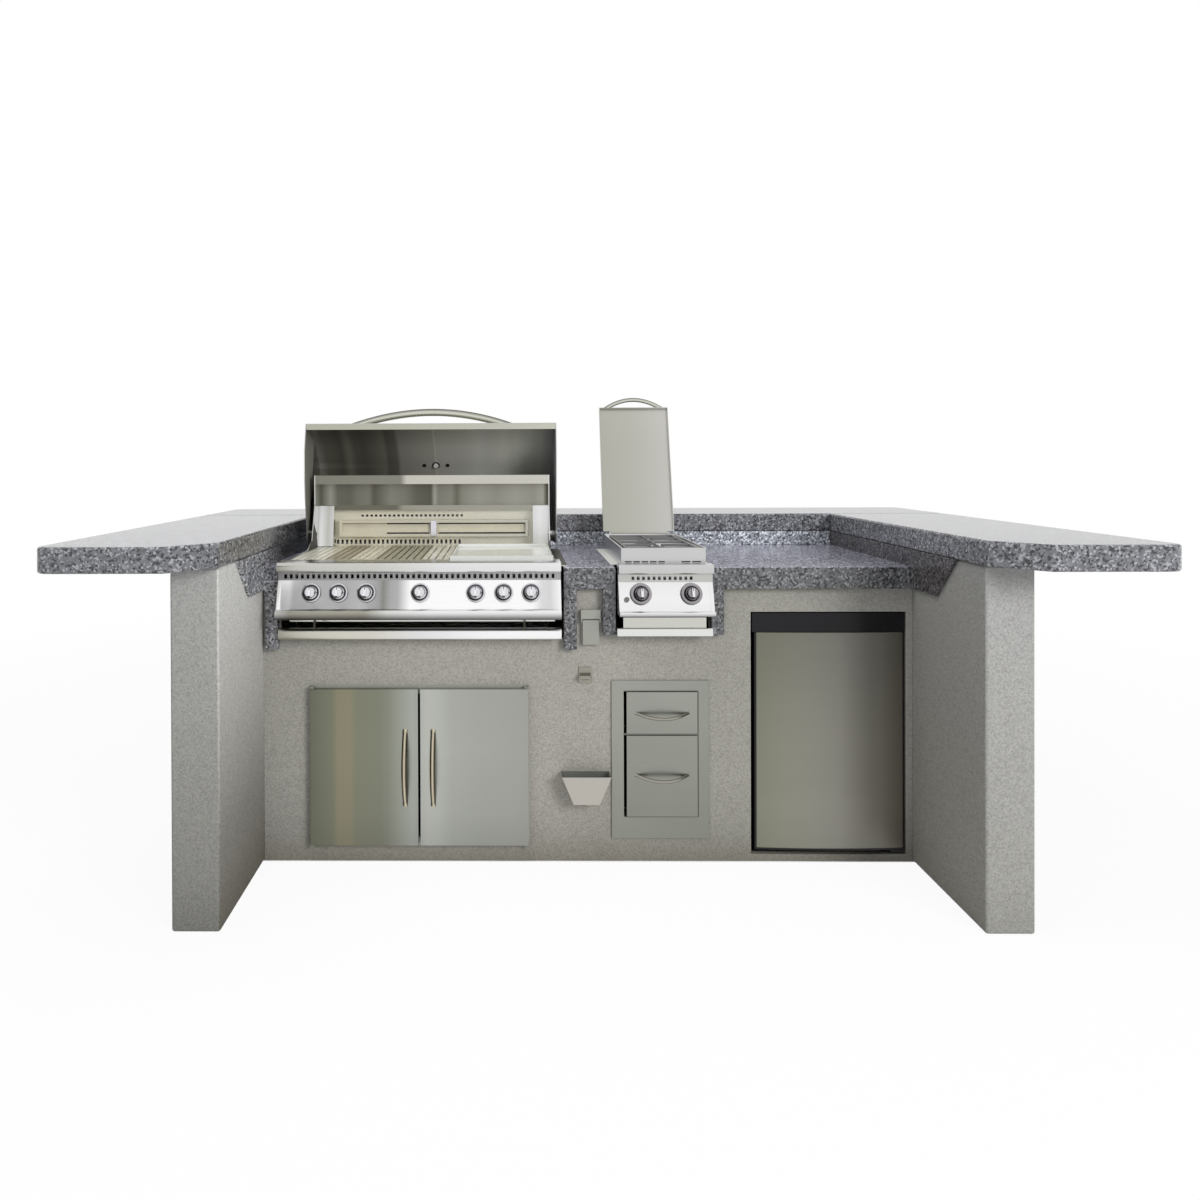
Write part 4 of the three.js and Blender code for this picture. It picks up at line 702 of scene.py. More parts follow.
# %% Stucco
def stucco_finish(name, color):
    material, tree, shader, vector = blank(name, Roughness=0.93)
    grit = grouped(
        tree, flecks, Vector=vector, Grains_per_metre=230.0, Dark=(0.84, 0.84, 0.84, 1),
        Middle=(1.01, 1.01, 1.01, 1), Light=(1.14, 1.14, 1.14, 1), Dark_share=0.22, Light_share=0.14,
        Spread=0.18,
    )
    sandy = mixed(tree, grit["Color"], laid(color, tree, vector), blend="MULTIPLY")
    aged = grouped(tree, weathering, Vector=vector, Color=sandy, Patch_size=1.3, Patches=0.1, Ground_dirt=0.1)
    tree.links.new(aged["Color"], shader.inputs["Base Color"])
    sand = {"Vector": vector, "Scale": 200.0, "Detail": 4.0, "Roughness": 0.7}
    rough = put(tree, "ShaderNodeTexNoise", sand).outputs[0]
    bumped(tree, shader, figured(tree, "MULTIPLY_ADD", grit["Height"], 0.6, rough), 0.22, 0.0015)
    return material


# painted light and shade: the front wall's tone changes across its width with the light on it, and painted shade
# darkens its lowest 30 cm
stucco = stucco_finish("stucco_warm_grey", crossed(
    graded("X", (-1.16, 158, 156, 149), (-0.6, 165, 162, 154), (0.1, 158, 155, 147), (0.45, 150, 148, 140),
           (1.16, 152, 150, 144)),
    graded("Z", (0.0, 216, 213, 206), (0.1, 240), (0.3, 255), (0.98, 255))))
plain_stucco = stucco_finish("stucco_back", linear(160, 158, 151))
print("front wall and plain stucco mixed")

# %% [markdown]
# ## Stucco walls
# The walls are blocks or boards with one coat of stucco, and the coat goes round the outer corners in a
# soft curve of about 9 mm. The front wall meets the other walls at inner corners, so it keeps nearly sharp
# edges. The two faces of each wing that show most get a ramp of their own, with painted light and shade:
# lighter at the top and darker towards the foot, the left wing's inner face lit and the right one's in shade.

# %% Walls
CORNER = 9.0

# painted light and shade by height on the wings' inner faces and pillar fronts
left_inner = graded("Z", (0, 100, 96, 86), (0.3, 132, 130, 124), (0.7, 180, 178, 173), (1.1, 205, 204, 200))
left_front = graded("Z", (0, 124, 123, 118), (0.6, 150, 149, 144), (1.1, 172, 171, 168))
right_inner = graded("Z", (0, 130, 128, 120), (1.1, 140, 139, 136))
right_front = graded("Z", (0, 150, 149, 143), (0.5, 156, 155, 151), (1.1, 162, 161, 159))
left_inner_stucco = stucco_finish("stucco_left_inner", left_inner)
left_pillar_stucco = stucco_finish("stucco_left_pillar", left_front)
right_inner_stucco = stucco_finish("stucco_right_inner", right_inner)
right_pillar_stucco = stucco_finish("stucco_right_pillar", right_front)

dressed("front_wall", stucco, 1.0, segments=2)
dressed("back_wall", plain_stucco, CORNER, segments=3)
dressed("left_wing_wall", plain_stucco, CORNER, segments=3, zones=[
    (left_inner_stucco, lambda middle, normal: looks(normal, "+x")),
    (left_pillar_stucco, lambda middle, normal: looks(normal, "-y")),
])
dressed("right_wing_wall", plain_stucco, CORNER, segments=3, zones=[
    (right_inner_stucco, lambda middle, normal: looks(normal, "-x")),
    (right_pillar_stucco, lambda middle, normal: looks(normal, "-y")),
])
print("walls dressed")

# %% [markdown]
# ## Granite
# The stone is a grey granite with grains of about 6 mm, polished on every face. It uses the grains group in
# stone colours, with a low roughness. A level dims all grains alike, as painted light and shade: slabs that
# stand upright or in a corner get painted shade, because they get less light from the yard than the studio
# gives them, while the worktop's top and the riser stay light, as a painted reflection and painted light.


# %% Granite
def granite_finish(name, level):
    """Polished stone. The level, an 8-bit tone or a graded colour, dims all its grains alike as painted light and
    shade.
    """
    material, tree, shader, vector = blank(name, Roughness=0.16, IOR=1.52)
    stone = grouped(
        tree, flecks, Vector=vector, Grains_per_metre=160.0, Dark=linear(96, 96, 99),
        Middle=linear(176, 177, 182), Light=linear(250, 251, 255), Dark_share=0.28, Light_share=0.15,
        Spread=0.6,
    )
    dimmed = mixed(tree, stone["Color"], laid(level, tree, vector), blend="MULTIPLY")
    aged = grouped(
        tree, weathering, Vector=vector, Color=dimmed, Patch_size=3.5, Patches=0.2, Ground_dirt=0.0
    )
    tree.links.new(aged["Color"], shader.inputs["Base Color"])
    return material


granite = granite_finish("granite_bar", linear(166, 166, 168))
# painted shade: the left bar's inner edge darkens towards the grill
left_edge = graded("Y", (-0.88, 166), (-0.3, 160), (0.0, 110), (0.45, 64))
left_edge_granite = granite_finish("granite_left_bar_edge", left_edge)
# painted shade on the worktop's front edge right of the legs
front_granite = granite_finish("granite_worktop_edge", linear(140, 140, 139))
# painted reflection of the sky on the worktop's top
top_granite = granite_finish("granite_worktop_top", linear(220, 218, 230))
# painted light: the worktop's legs are lighter on the left
legs = graded("X", (-1.16, 186), (-1.05, 182), (-0.1, 152), (0.1, 146), (0.5, 150))
leg_granite = granite_finish("granite_worktop", legs)
# painted light on the riser
riser_granite = granite_finish("granite_riser", linear(242, 246, 250))
# painted shade: the left splash darkens towards the grill
left_splash = graded("Y", (-0.58, 226), (-0.25, 190), (-0.05, 84), (0.45, 40))
left_splash_granite = granite_finish("granite_left_splash", left_splash)
# painted shade on the right splash
right_splash_granite = granite_finish("granite_right_splash", linear(118, 113, 112))
print("granite ready")

# %% [markdown]
# ## Bar tops, worktop and facings
# The bar's three slabs have a full rounding of 8 mm, so that arms can rest on them. The worktop hangs down
# beside each appliance in two legs and has a small easing, and the thin facings behind it have hardly any.

# %% Bar tops, worktop and facings
BAR_ROUNDING = 8.0
FACING_EDGE = 1.2
right_of_legs = 0.5  # where the worktop's front edge runs on without legs

left_zones = [(left_edge_granite, lambda middle, normal: looks(normal, "+x"))]
dressed("left_bar_top", granite, BAR_ROUNDING, segments=4, zones=left_zones)
dressed("right_bar_top", granite, BAR_ROUNDING, segments=4)
dressed("back_bar_top", granite, BAR_ROUNDING, segments=4)
dressed("worktop", leg_granite, 3.0, segments=3, zones=[
    (top_granite, lambda middle, normal: looks(normal, "+z") and middle.z > worktop_top - 0.008),
    (front_granite, lambda middle, normal: looks(normal, "-y") and middle.x > right_of_legs),
])
dressed("riser", riser_granite, FACING_EDGE)
dressed("left_splash", left_splash_granite, FACING_EDGE)
dressed("right_splash", right_splash_granite, FACING_EDGE)
print("stone dressed")

# %% [markdown]
# ## Brushed steel
# The appliances are stainless sheet. The finish takes a plain or graded colour through the brushing group.
# Stretch sets which way the scratches run, and bands how fast the tone changes each way. Less metallic
# steel shows more of its own colour and less of the white studio, which suits dull sheet and what lies deep
# inside.


# %% Brushed steel
def steel_finish(
    name, color, roughness=0.3, metallic=1.0, stretch=(3, 700, 700), bands=(2.2, 0, 0.2), streaks=0.12,
    tones=0.12, depth=0.0004,
):
    """Brushed sheet: streaks run along the axis with the small stretch, tones of painted reflection change along
    the bands.
    """
    material, tree, shader, vector = blank(name, Metallic=metallic)
    brushed = grouped(
        tree, brushing, Vector=vector, Stretch=stretch, Bands=bands, Streaks=streaks, Tones=tones,
        Color=laid(color, tree, vector),
    )
    tree.links.new(brushed["Color"], shader.inputs["Base Color"])
    polish = figured(tree, "MULTIPLY_ADD", brushed["Polish"], 0.35, roughness)
    tree.links.new(polish, shader.inputs["Roughness"])
    bumped(tree, shader, brushed["Height"], 0.25, depth)
    return material


def calm_steel(name, color, roughness=0.24):
    """Brushed sheet with faint streaks, for small parts."""
    return steel_finish(name, color, roughness, streaks=0.08, tones=0.08)


bright_steel = steel_finish("bright_steel", linear(228, 230, 226), roughness=0.2, streaks=0.08, tones=0.1)
smoked_steel = steel_finish("smoked_steel", linear(84, 81, 72), roughness=0.5, bands=(5, 5, 5), tones=0.5)
print("steel ready")

# %% [markdown]
# ## Stud frame
# The studs behind the front wall are galvanised steel, with the cloudy flowers of zinc. They hardly show,
# so the CAD solid stays as it is and only gets a new material.

# %% Stud frame
no_grain, zinc_flowers = (60, 60, 60), (20, 20, 20)
zinc = steel_finish(
    "galvanised", linear(150, 154, 158), roughness=0.5, stretch=no_grain, bands=zinc_flowers, tones=0.5
)
studs = frame["nodes"]["stud_frame"].data
studs.materials.clear()
studs.materials.append(zinc)
print("stud frame has", len(studs.polygons), "faces")

# %% [markdown]
# ## Grill firebox
# The firebox is welded of folded sheet: a rear wall with vent slots, a beam across its top, a rail in front
# of the wall and a housing at each side. It is one solid, so each part is told apart by where its faces
# lie. The lower liner is painted a pale warm cream, as painted light, because it lies in shade under the
# rail, and the sheet above it, the beam, the rail and the housings carry painted reflections of the yard in
# dark and light bands.

# %% Firebox finishes
# painted reflections: dark and light bands across the rear wall, the beam, the rail and the housings
rear_reflection_tones = [
    (-1.07, 102, 101, 91), (-1.03, 163, 162, 152), (-1.0, 116, 115, 105), (-0.946, 110, 109, 99),
    (-0.915, 126, 125, 114), (-0.869, 130, 129, 119), (-0.846, 98, 97, 86), (-0.815, 116, 115, 105),
    (-0.776, 138, 137, 126), (-0.714, 128, 127, 117), (-0.668, 105, 104, 94), (-0.606, 96, 95, 85),
    (-0.591, 163, 162, 152), (-0.575, 131, 130, 120), (-0.521, 140, 139, 128), (-0.498, 112, 111, 100),
    (-0.475, 140, 139, 128), (-0.406, 157, 156, 146), (-0.328, 149, 148, 138), (-0.251, 162, 161, 151),
    (-0.174, 153, 153, 142), (-0.135, 172, 171, 161), (-0.12, 93, 92, 82),
]
# painted light: the lower liner is kept pale, though it lies in shade under the rail
low_liner_painted_light = [(-1.07, 222, 219, 204), (-0.95, 232, 227, 208), (-0.6, 220, 216, 200), (-0.12, 232, 229, 216)]
beam_reflection_tones = [(-1.09, 132, 131, 120), (-0.72, 137, 135, 125), (-0.695, 199, 196, 186), (-0.09, 203, 201, 191)]
rail_reflection_tones = [(-1.07, 122, 120, 108), (-0.75, 111, 109, 98), (-0.72, 158, 156, 145), (-0.12, 165, 164, 155)]
housing_reflection_tones = [
    (-1.085, 150, 150, 146), (-1.06, 225), (-1.03, 188, 188, 182), (-1.0, 214), (-0.985, 150), (-0.2, 160),
    (-0.19, 214), (-0.15, 232), (-0.1, 214),
]
liner_steel = steel_finish("liner_steel", graded("X", *rear_reflection_tones), roughness=0.36)
low_liner_steel = steel_finish("low_liner_steel", graded("X", *low_liner_painted_light), roughness=0.5, metallic=0.5)
beam_steel = steel_finish("beam", graded("X", *beam_reflection_tones), roughness=0.25)
rail_steel = steel_finish("rear_rail", graded("X", *rail_reflection_tones), roughness=0.3)
housing_steel = steel_finish("rear_housings", graded("X", *housing_reflection_tones), roughness=0.3)
print("firebox finishes ready")


# %% Firebox zones
LINER_HALF = 0.4795
LINER_DEPTH = 0.5  # behind the wall's face, as the other depths
LINER_TOP = 0.317  # above the worktop, as the other heights
RAIL_FOOT, RAIL_TOP, RAIL_DEPTH = 0.172, 0.196, 0.49
BEAM_FOOT, BEAM_DEPTH = 0.28, 0.43
HOUSING_FOOT, HOUSING_TOP, HOUSING_INNER, HOUSING_DEPTH = 0.02, 0.18, 0.39, 0.3


def in_firebox(middle, normal):
    spot = middle - GRILL
    return abs(spot.x) < LINER_HALF and spot.z < 0.01 and spot.y > 0.0175


def rear_lining(middle, normal):
    spot = middle - GRILL
    return abs(spot.x) < LINER_HALF and spot.y > LINER_DEPTH and 0 < spot.z < LINER_TOP and normal.y < -0.5


def low_lining(middle, normal):
    return rear_lining(middle, normal) and middle.z - GRILL.z < RAIL_FOOT


def beam_front(middle, normal):
    spot = middle - GRILL
    return looks(normal, "-y") and spot.z > BEAM_FOOT and spot.y < BEAM_DEPTH


def rail_front(middle, normal):
    spot = middle - GRILL
    return looks(normal, "-y") and RAIL_FOOT < spot.z < RAIL_TOP and spot.y < RAIL_DEPTH


def housing_front(middle, normal):
    spot = middle - GRILL
    level = HOUSING_FOOT < spot.z < HOUSING_TOP
    return looks(normal, "-y") and level and abs(spot.x) > HOUSING_INNER and spot.y > HOUSING_DEPTH


print("the liner is", 2 * LINER_HALF, "m wide inside")

# %% [markdown]
# ## Vent slots of the firebox
# A row of small slots above the rear burner and a row of taller ones at the foot of the liner let hot air
# out. They are cut through the sheet with a boolean, so they look black because they are really open, from
# every side.

# %% Firebox
VENT_PITCH = 0.019
THROUGH_LINER = (0.215, 0.245)


def vent_row(first, count, width, foot, top):
    """Slots through the rear wall from a first left edge, between two heights."""
    y0, y1 = THROUGH_LINER
    lefts = [first + i * VENT_PITCH for i in range(count)]
    return [bar((left, y0, foot), (left + width, y1, top)) for left in lefts]


vents = vent_row(-0.90, 23, width=0.010, foot=1.203, top=1.212)
vents += vent_row(-1.004, 28, width=0.0095, foot=1.0885, top=1.106)
dressed("grill_firebox", bright_steel, 0.9, cutter=cutting("rear_holes", vents), zones=[
    (housing_steel, housing_front),
    (smoked_steel, in_firebox),
    (low_liner_steel, low_lining),
    (liner_steel, rear_lining),
    (beam_steel, beam_front),
    (rail_steel, rail_front),
])
print(len(vents), "vents cut")

# %% [markdown]
# ## Control panels
# Both panels have the same outline: a front ledge, a recess with a row of air slots, a slanted face for the
# knobs and a rolled lip. Each part of it is bent to another angle and mirrors something else, so each gets
# its own painted reflection, and the recess and the lip's underside are painted darker as their shade.

# %% Grill panel finishes
# painted reflections across the width of the ledge, the slanted face and the lip
ledge_reflection_tones = [(-1.09, 196, 195, 188), (-0.75, 204, 203, 198), (-0.5, 226), (-0.09, 232)]
face_reflection_tones = [
    (-1.0905, 254), (-1.048, 245), (-1.033, 202), (-0.993, 183), (-0.843, 177), (-0.793, 187), (-0.733, 164),
    (-0.718, 138, 142, 134), (-0.693, 172), (-0.666, 180), (-0.643, 223), (-0.623, 254), (-0.193, 254),
    (-0.163, 223), (-0.133, 218), (-0.0955, 253),
]
lip_reflection_tones = [
    (-1.09, 240), (-1.04, 176, 173, 160), (-0.78, 172, 169, 156), (-0.70, 226, 226, 222), (-0.55, 248),
    (-0.09, 250),
]
# painted shade on the underside of the rolled lip
lip_underside_shade = graded("Z", (0.886, 96), (0.895, 140), (0.903, 196), (0.912, 240), (0.925, 255))
ledge_steel = steel_finish("panel_ledge", graded("X", *ledge_reflection_tones), roughness=0.22)
# painted shade in the recess under the ledge
recess = graded("X", (-1.09, 152), (-0.6, 160), (-0.09, 172))
recess_steel = steel_finish("panel_recess", recess, roughness=0.4)
face_steel = steel_finish("panel_face", graded("X", *face_reflection_tones))
lip_steel = steel_finish("panel_lip", crossed(graded("X", *lip_reflection_tones), lip_underside_shade))
print("grill panel finishes ready")

# %% Side burner panel finishes
box_steel = calm_steel("side_box_steel", linear(203, 204, 203), 0.26)
# painted shade in the side panel's recess
side_recess_steel = steel_finish("side_panel_recess", linear(196, 196, 192), roughness=0.35)
side_face_steel = calm_steel("side_panel_face", graded("Z", (0.905, 236), (0.95, 242), (1.02, 236)))
# painted shade on the underside of the side panel's lip
side_lip = graded("Z", (0.897, 130), (0.906, 215), (0.914, 245))
side_lip_steel = steel_finish("side_panel_lip", side_lip, roughness=0.24)
print("side burner panel finishes ready")


# %% Slotted control panels
TAB_TOP = -0.1728  # from the worktop's top, as the other heights
RECESS_HEIGHTS = (-0.036, -0.0095)
FACE_HEIGHTS = (-0.136, -0.034)
LIP_TOP = -0.134
FACE_REACH, RECESS_REACH = 0.07, 0.065  # in front of the wall's face
SIDE_PANEL_LOWER = 0.009
CUT = 0.01


def panel_zones(lower, tabs, recess, face, lip):
    """Finishes of a panel's hanger tabs, recess, slanted face and lip."""

    def height(middle):
        return middle.z - worktop_top + lower

    return [
        (tabs, lambda middle, normal: height(middle) < TAB_TOP),
        (recess, lambda middle, normal: (
            RECESS_HEIGHTS[0] < height(middle) < RECESS_HEIGHTS[1] and looks(normal, "-y"))),
        (face, lambda middle, normal: (
            FACE_HEIGHTS[0] < height(middle) < FACE_HEIGHTS[1] and middle.y < wall_face - FACE_REACH)),
        (lip, lambda middle, normal: height(middle) <= LIP_TOP),
    ]


def slot_row(centre, half_width, pitch, below, size):
    """Slots through the recess, at a depth below the worktop's top."""
    width, height = size
    y, z = GRILL.y - RECESS_REACH, GRILL.z - below
    count = int(2 * half_width / pitch)
    first = centre - (count - 1) * pitch / 2
    slots = []
    for i in range(count):
        x = first + i * pitch
        low = (x - width / 2, y - CUT, z - height / 2)
        high = (x + width / 2, y + CUT, z + height / 2)
        slots.append(bar(low, high))
    return slots


grill_slots = slot_row(GRILL.x, 0.487, pitch=0.0196, below=0.024, size=(0.010, 0.015))
grill_zones = panel_zones(0, smoked_steel, recess_steel, face_steel, lip_steel)
grill_cutter = cutting("grill_slots", grill_slots)
dressed("grill_control_panel", ledge_steel, 0.8, zones=grill_zones, cutter=grill_cutter)
side_slots = slot_row(COOKER.x - 0.012, 0.112, pitch=0.0185, below=0.033, size=(0.0095, 0.012))
side_zones = panel_zones(SIDE_PANEL_LOWER, smoked_steel, side_recess_steel, side_face_steel, side_lip_steel)
side_cutter = cutting("side_slots", side_slots)
dressed("side_burner_panel", box_steel, 0.8, zones=side_zones, cutter=side_cutter)
print(len(grill_slots), "and", len(side_slots), "slots cut")

# %% [markdown]
# ## Hood
# The hood is one sheet bent over two cheeks, and it stands open. The camera sees its inside, which is painted
# with reflections of the yard in dark upright bands, a painted highlight along its middle seam and painted
# shade towards its top, and the narrow lip along its front edge, with a painted reflection that lightens to
# the right. Whether a face is inside is asked with the hood turned back to its closed place, where inside
# simply means that the face looks towards the middle.

# %% Hood finishes
# painted reflections in dark upright bands, with a painted highlight along the middle seam
hood_reflection_tones = [
    (-1.101, 150, 148, 138), (-1.06, 110, 108, 98), (-1.043, 108, 105, 94), (-0.993, 92, 90, 80),
    (-0.963, 124, 121, 110), (-0.933, 98, 96, 86), (-0.893, 92, 90, 80), (-0.809, 118, 115, 104),
    (-0.793, 96, 94, 84), (-0.758, 108, 106, 96), (-0.743, 150, 148, 138), (-0.643, 166, 164, 154),
    (-0.5955, 172, 170, 160), (-0.5945, 208, 206, 196), (-0.5915, 208, 206, 196), (-0.5905, 184, 182, 172),
    (-0.393, 204, 203, 194), (-0.243, 208, 207, 197), (-0.143, 186, 185, 176), (-0.093, 150),
]
# painted shade towards the top of the open hood
hood_top_shade = graded("Z", (1.1, 240), (1.35, 255), (1.5, 245), (1.6, 200))
hood_inside = steel_finish(
    "hood_inside", crossed(graded("X", *hood_reflection_tones), hood_top_shade), roughness=0.4, metallic=0.3, tones=0.3,
    bands=(9, 0, 0.4),
)
hood_outside = steel_finish("hood_outside", linear(196, 197, 192), roughness=0.26)
# painted reflection along the hood's lip, lighter to the right
hood_lip = graded("X", (-1.101, 182, 183, 169), (-0.6, 190, 190, 177), (-0.085, 201, 200, 188))
lip_bright = steel_finish("hood_lip", hood_lip, roughness=0.24)
print("hood finishes ready")

# %% Hood
HOOD_ANGLE = 90
CHEEK_INNER = 0.5065
LIP_REACH = 0.42
INNER_TOP = -0.041
SKIN_MIDDLE = Vector((0, -0.1, 0))  # inside of the closed hood, from the pivot

pivot = Vector(joint_named["hood_hinge"]["pos_m"])
open_turn = Matrix.Translation(pivot) @ Matrix.Rotation(math.radians(-HOOD_ANGLE), 4, "X")
closed_again = open_turn.inverted()


def inside_hood(middle, normal):
    local = closed_again @ middle
    outwards = (closed_again.to_3x3() @ normal).dot(Vector((0, local.y - SKIN_MIDDLE.y, local.z)))
    return abs(local.x) < CHEEK_INNER and outwards < 0 and local.z > INNER_TOP


def hood_front_edge(middle, normal):
    return (closed_again @ middle).y < -LIP_REACH


dressed("grill_hood", hood_outside, 1.2, zones=[(hood_inside, inside_hood), (lip_bright, hood_front_edge)])
print("hood dressed about", tuple(pivot))

# %% [markdown]
# ## Polished round bars
# A polished bar mirrors the bright sky on one side and the dark ground on the other. In a white studio it
# would turn all white, so a reflection is painted into the finish: it gets darker where the surface turns
# towards one quarter of the room. It reads the surface's own normal, so the painted reflection turns with
# the piece, and does not follow the camera.


# %% Polished round bars
def rounded_finish(name, lit, dim, roughness, shade_from, reach, both_sides=False):
    """Polished round metal with a painted reflection, dark on the sides that turn towards the shaded quarter."""
    material, tree, shader, vector = blank(name, Metallic=1.0, Roughness=roughness)
    normal = put(tree, "ShaderNodeTexCoord").outputs["Normal"]
    value = combined(tree, "DOT_PRODUCT", normal, Vector(shade_from).normalized())
    if both_sides:
        value = figured(tree, "ABSOLUTE", value)
    shaded = mixed(tree, linear(*lit), linear(*dim), mapped(tree, value, reach))
    brushed = grouped(
        tree, brushing, Vector=vector, Stretch=(300, 300, 300), Bands=(3, 0, 3), Streaks=0.05, Tones=0.1,
        Color=shaded,
    )
    tree.links.new(brushed["Color"], shader.inputs["Base Color"])
    return material


# painted reflections on the handles: the hood and lid handles dark above and below, the door handles at both
# sides, the drawer handles below
bowed_steel = rounded_finish(
    "bowed_handles", (208, 208, 198), (84, 82, 74), 0.18, shade_from=(0, 0.15, -1), reach=(0.3, 0.95),
    both_sides=True,
)
door_bow = rounded_finish(
    "door_handles", (214, 205, 180), (84, 76, 62), 0.2, shade_from=(1, 0.12, 0), reach=(0.0, 0.55),
    both_sides=True,
)
dark_bow = rounded_finish(
    "drawer_handles", (158, 156, 147), (78, 75, 68), 0.22, shade_from=(0, 0.1, -1), reach=(0.0, 0.8)
)
print("round bar finishes ready")

# %% [markdown]
# ## Crown of the hood
# The hood's handle and thermometer sit on its curved skin. The skin follows one smooth curve in flat
# facets, so working out the same curve here gives the exact middle and slope of any facet. Placed by eye,
# a part would leave a gap or sink into the sheet.

# %% Points on the hood's skin
CROWN_FACETS = 21
# The curve's ends and its two guide points, forwards and up from the pivot, as the hood lies closed.
CROWN_GUIDES = ((0.060, 0.265), (-0.153, 0.2756), (-0.3915, 0.1802), (-0.450, -0.045))


def crown_point(share):
    a, b, c, d = (Vector(guide) for guide in CROWN_GUIDES)
    rest = 1 - share
    return rest**3 * a + 3 * rest**2 * share * b + 3 * rest * share**2 * c + share**3 * d


def on_hood(facet):
    """The middle of a facet of the open hood's skin, with local -Y pointing out of it."""
    first, second = crown_point(facet / CROWN_FACETS), crown_point((facet + 1) / CROWN_FACETS)
    middle = (first + second) / 2
    slope = math.atan2(second.x - first.x, first.y - second.y)
    return open_turn @ Matrix.Translation((0, middle.x, middle.y)) @ Matrix.Rotation(slope, 4, "X")


print("the crown rises to", round(max(crown_point(i / 99).y for i in range(100)), 4), "m above the pivot")

# %% [markdown]
# ## Arched handles
# All handles are round bars, bent in one even curve, with their ends cut off level on the sheet. A parabola
# through three points gives that curve. Sweeping a circle along it and pressing the ends flat is simpler
# than a curve object, and leaves closed ends.


# %% Arched handles
SEAT_GAP = 0.0003


def arch(place, span, rise, sag, radius, steps=48, sides=20):
    """A bar bent in one curve between two points of the plane y = 0, cut off level there."""
    left = Vector((-span / 2, radius, 0))
    guide = Vector((0, -2 * rise - radius, -2 * sag))
    right = Vector((span / 2, radius, 0))
    shares = [i / steps for i in range(steps + 1)]
    path = [(1 - t) ** 2 * left + 2 * t * (1 - t) * guide + t**2 * right for t in shares]
    points, faces = swept(path, radius, sides)
    return [place @ Vector((point.x, min(point.y, -SEAT_GAP), point.z)) for point in points], faces


def handle(node, place, span, rise, radius, sag=0, finish=bowed_steel):
    """A handle in millimetres, with its feet on the place's plane."""
    return remade(node, [(arch(place, span * MM, rise * MM, sag * MM, radius * MM), finish)])


HANDLE_FACET = 19
handle("hood_handle", on_hood(HANDLE_FACET), span=738, rise=68, radius=15)
print("hood handle bent")

# %% Lid handle
LID_ANGLE = 105
LID_LENGTH, LID_MIDDLE = 0.56, 0.0105

lid_hinge = joint_named["side_burner_lid_hinge"]["pos_m"]
lid_place = Matrix.Translation(lid_hinge) @ Matrix.Rotation(math.radians(-LID_ANGLE), 4, "X")
lid_front = lid_place @ Matrix.Translation((0, -LID_LENGTH, LID_MIDDLE))
handle("lid_handle", lid_front, span=262, rise=38, radius=9)
print("lid handle bent")

# %% Door and drawer handles
END_HEIGHT = 0.00411  # how far a drawer handle's cut end reaches above its own axis

upright = Matrix.Rotation(math.radians(90), 4, "Y")
for side in ("left", "right"):
    middle = middle_of(f"{side}_door_handle")
    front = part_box(f"{side}_door")[0].y
    spot = Matrix.Translation([exact(value) for value in (middle.x, front, middle.z)]) @ upright
    handle(f"{side}_door_handle", spot, span=268, rise=35, radius=9.5, finish=door_bow)
for level in ("upper", "lower"):
    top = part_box(f"{level}_drawer_handle")[1].z
    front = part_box(f"{level}_drawer")[0].y
    x = middle_of(f"{level}_drawer").x
    spot = Matrix.Translation((exact(x), exact(front), exact(top - END_HEIGHT, digits=5)))
    handle(f"{level}_drawer_handle", spot, span=191, rise=38, radius=5.5, sag=11, finish=dark_bow)
print("door and drawer handles bent")

# %% [markdown]
# ## Iron, plastic and enamel
# Cast, fired and moulded parts have one even colour with a fine grain. A noise varies the colour and the
# gloss a little and gives a faint bump. One finish with a few values covers black iron, plastics, enamel
# and rubber.


# %% Iron, plastic and enamel
def plain_finish(name, color, roughness, grain=60.0, variation=0.25, depth=0.0006, **values):
    """Cast, fired or moulded surfaces: an even colour with fine grain."""
    material, tree, shader, vector = blank(name, **values)
    noise = {"Vector": vector, "Scale": grain, "Detail": 4.0, "Roughness": 0.65}
    cloud = put(tree, "ShaderNodeTexNoise", noise).outputs[0]
    tinted = scaled(tree, color[:3], mapped(tree, cloud, (0.0, 1.0), (1 - variation, 1 + variation)))
    aged = grouped(
        tree, weathering, Vector=vector, Color=tinted, Patch_size=6.0, Patches=0.12, Ground_dirt=0.05
    )
    tree.links.new(aged["Color"], shader.inputs["Base Color"])
    gloss = mapped(tree, cloud, (0.0, 1.0), (roughness * 0.85, roughness * 1.15))
    tree.links.new(gloss, shader.inputs["Roughness"])
    bumped(tree, shader, cloud, 0.3, depth)
    return material


black_plastic = plain_finish(
    "black_plastic", linear(26, 24, 27), 0.2, grain=400.0, variation=0.08, depth=0.0001, IOR=1.3
)
# painted shade: a near black for the gap under each knob, the nut's shadow, the screw holes and the lines along
# the burner tiles
gap_shade = plain_finish("gap_shade", linear(26, 26, 24), 0.8, grain=100.0)
print("plain finishes ready")

# %% [markdown]
# ## Thermometer
# A dial thermometer goes through the hood's skin. Outside it has a steel ring with a white dial, a needle
# and a scale of 25 marks, and inside the hood only its nut and the two screws beside it show. It is turned
# about its own axis, and the scale is thin bars on the dial, so it needs no image.

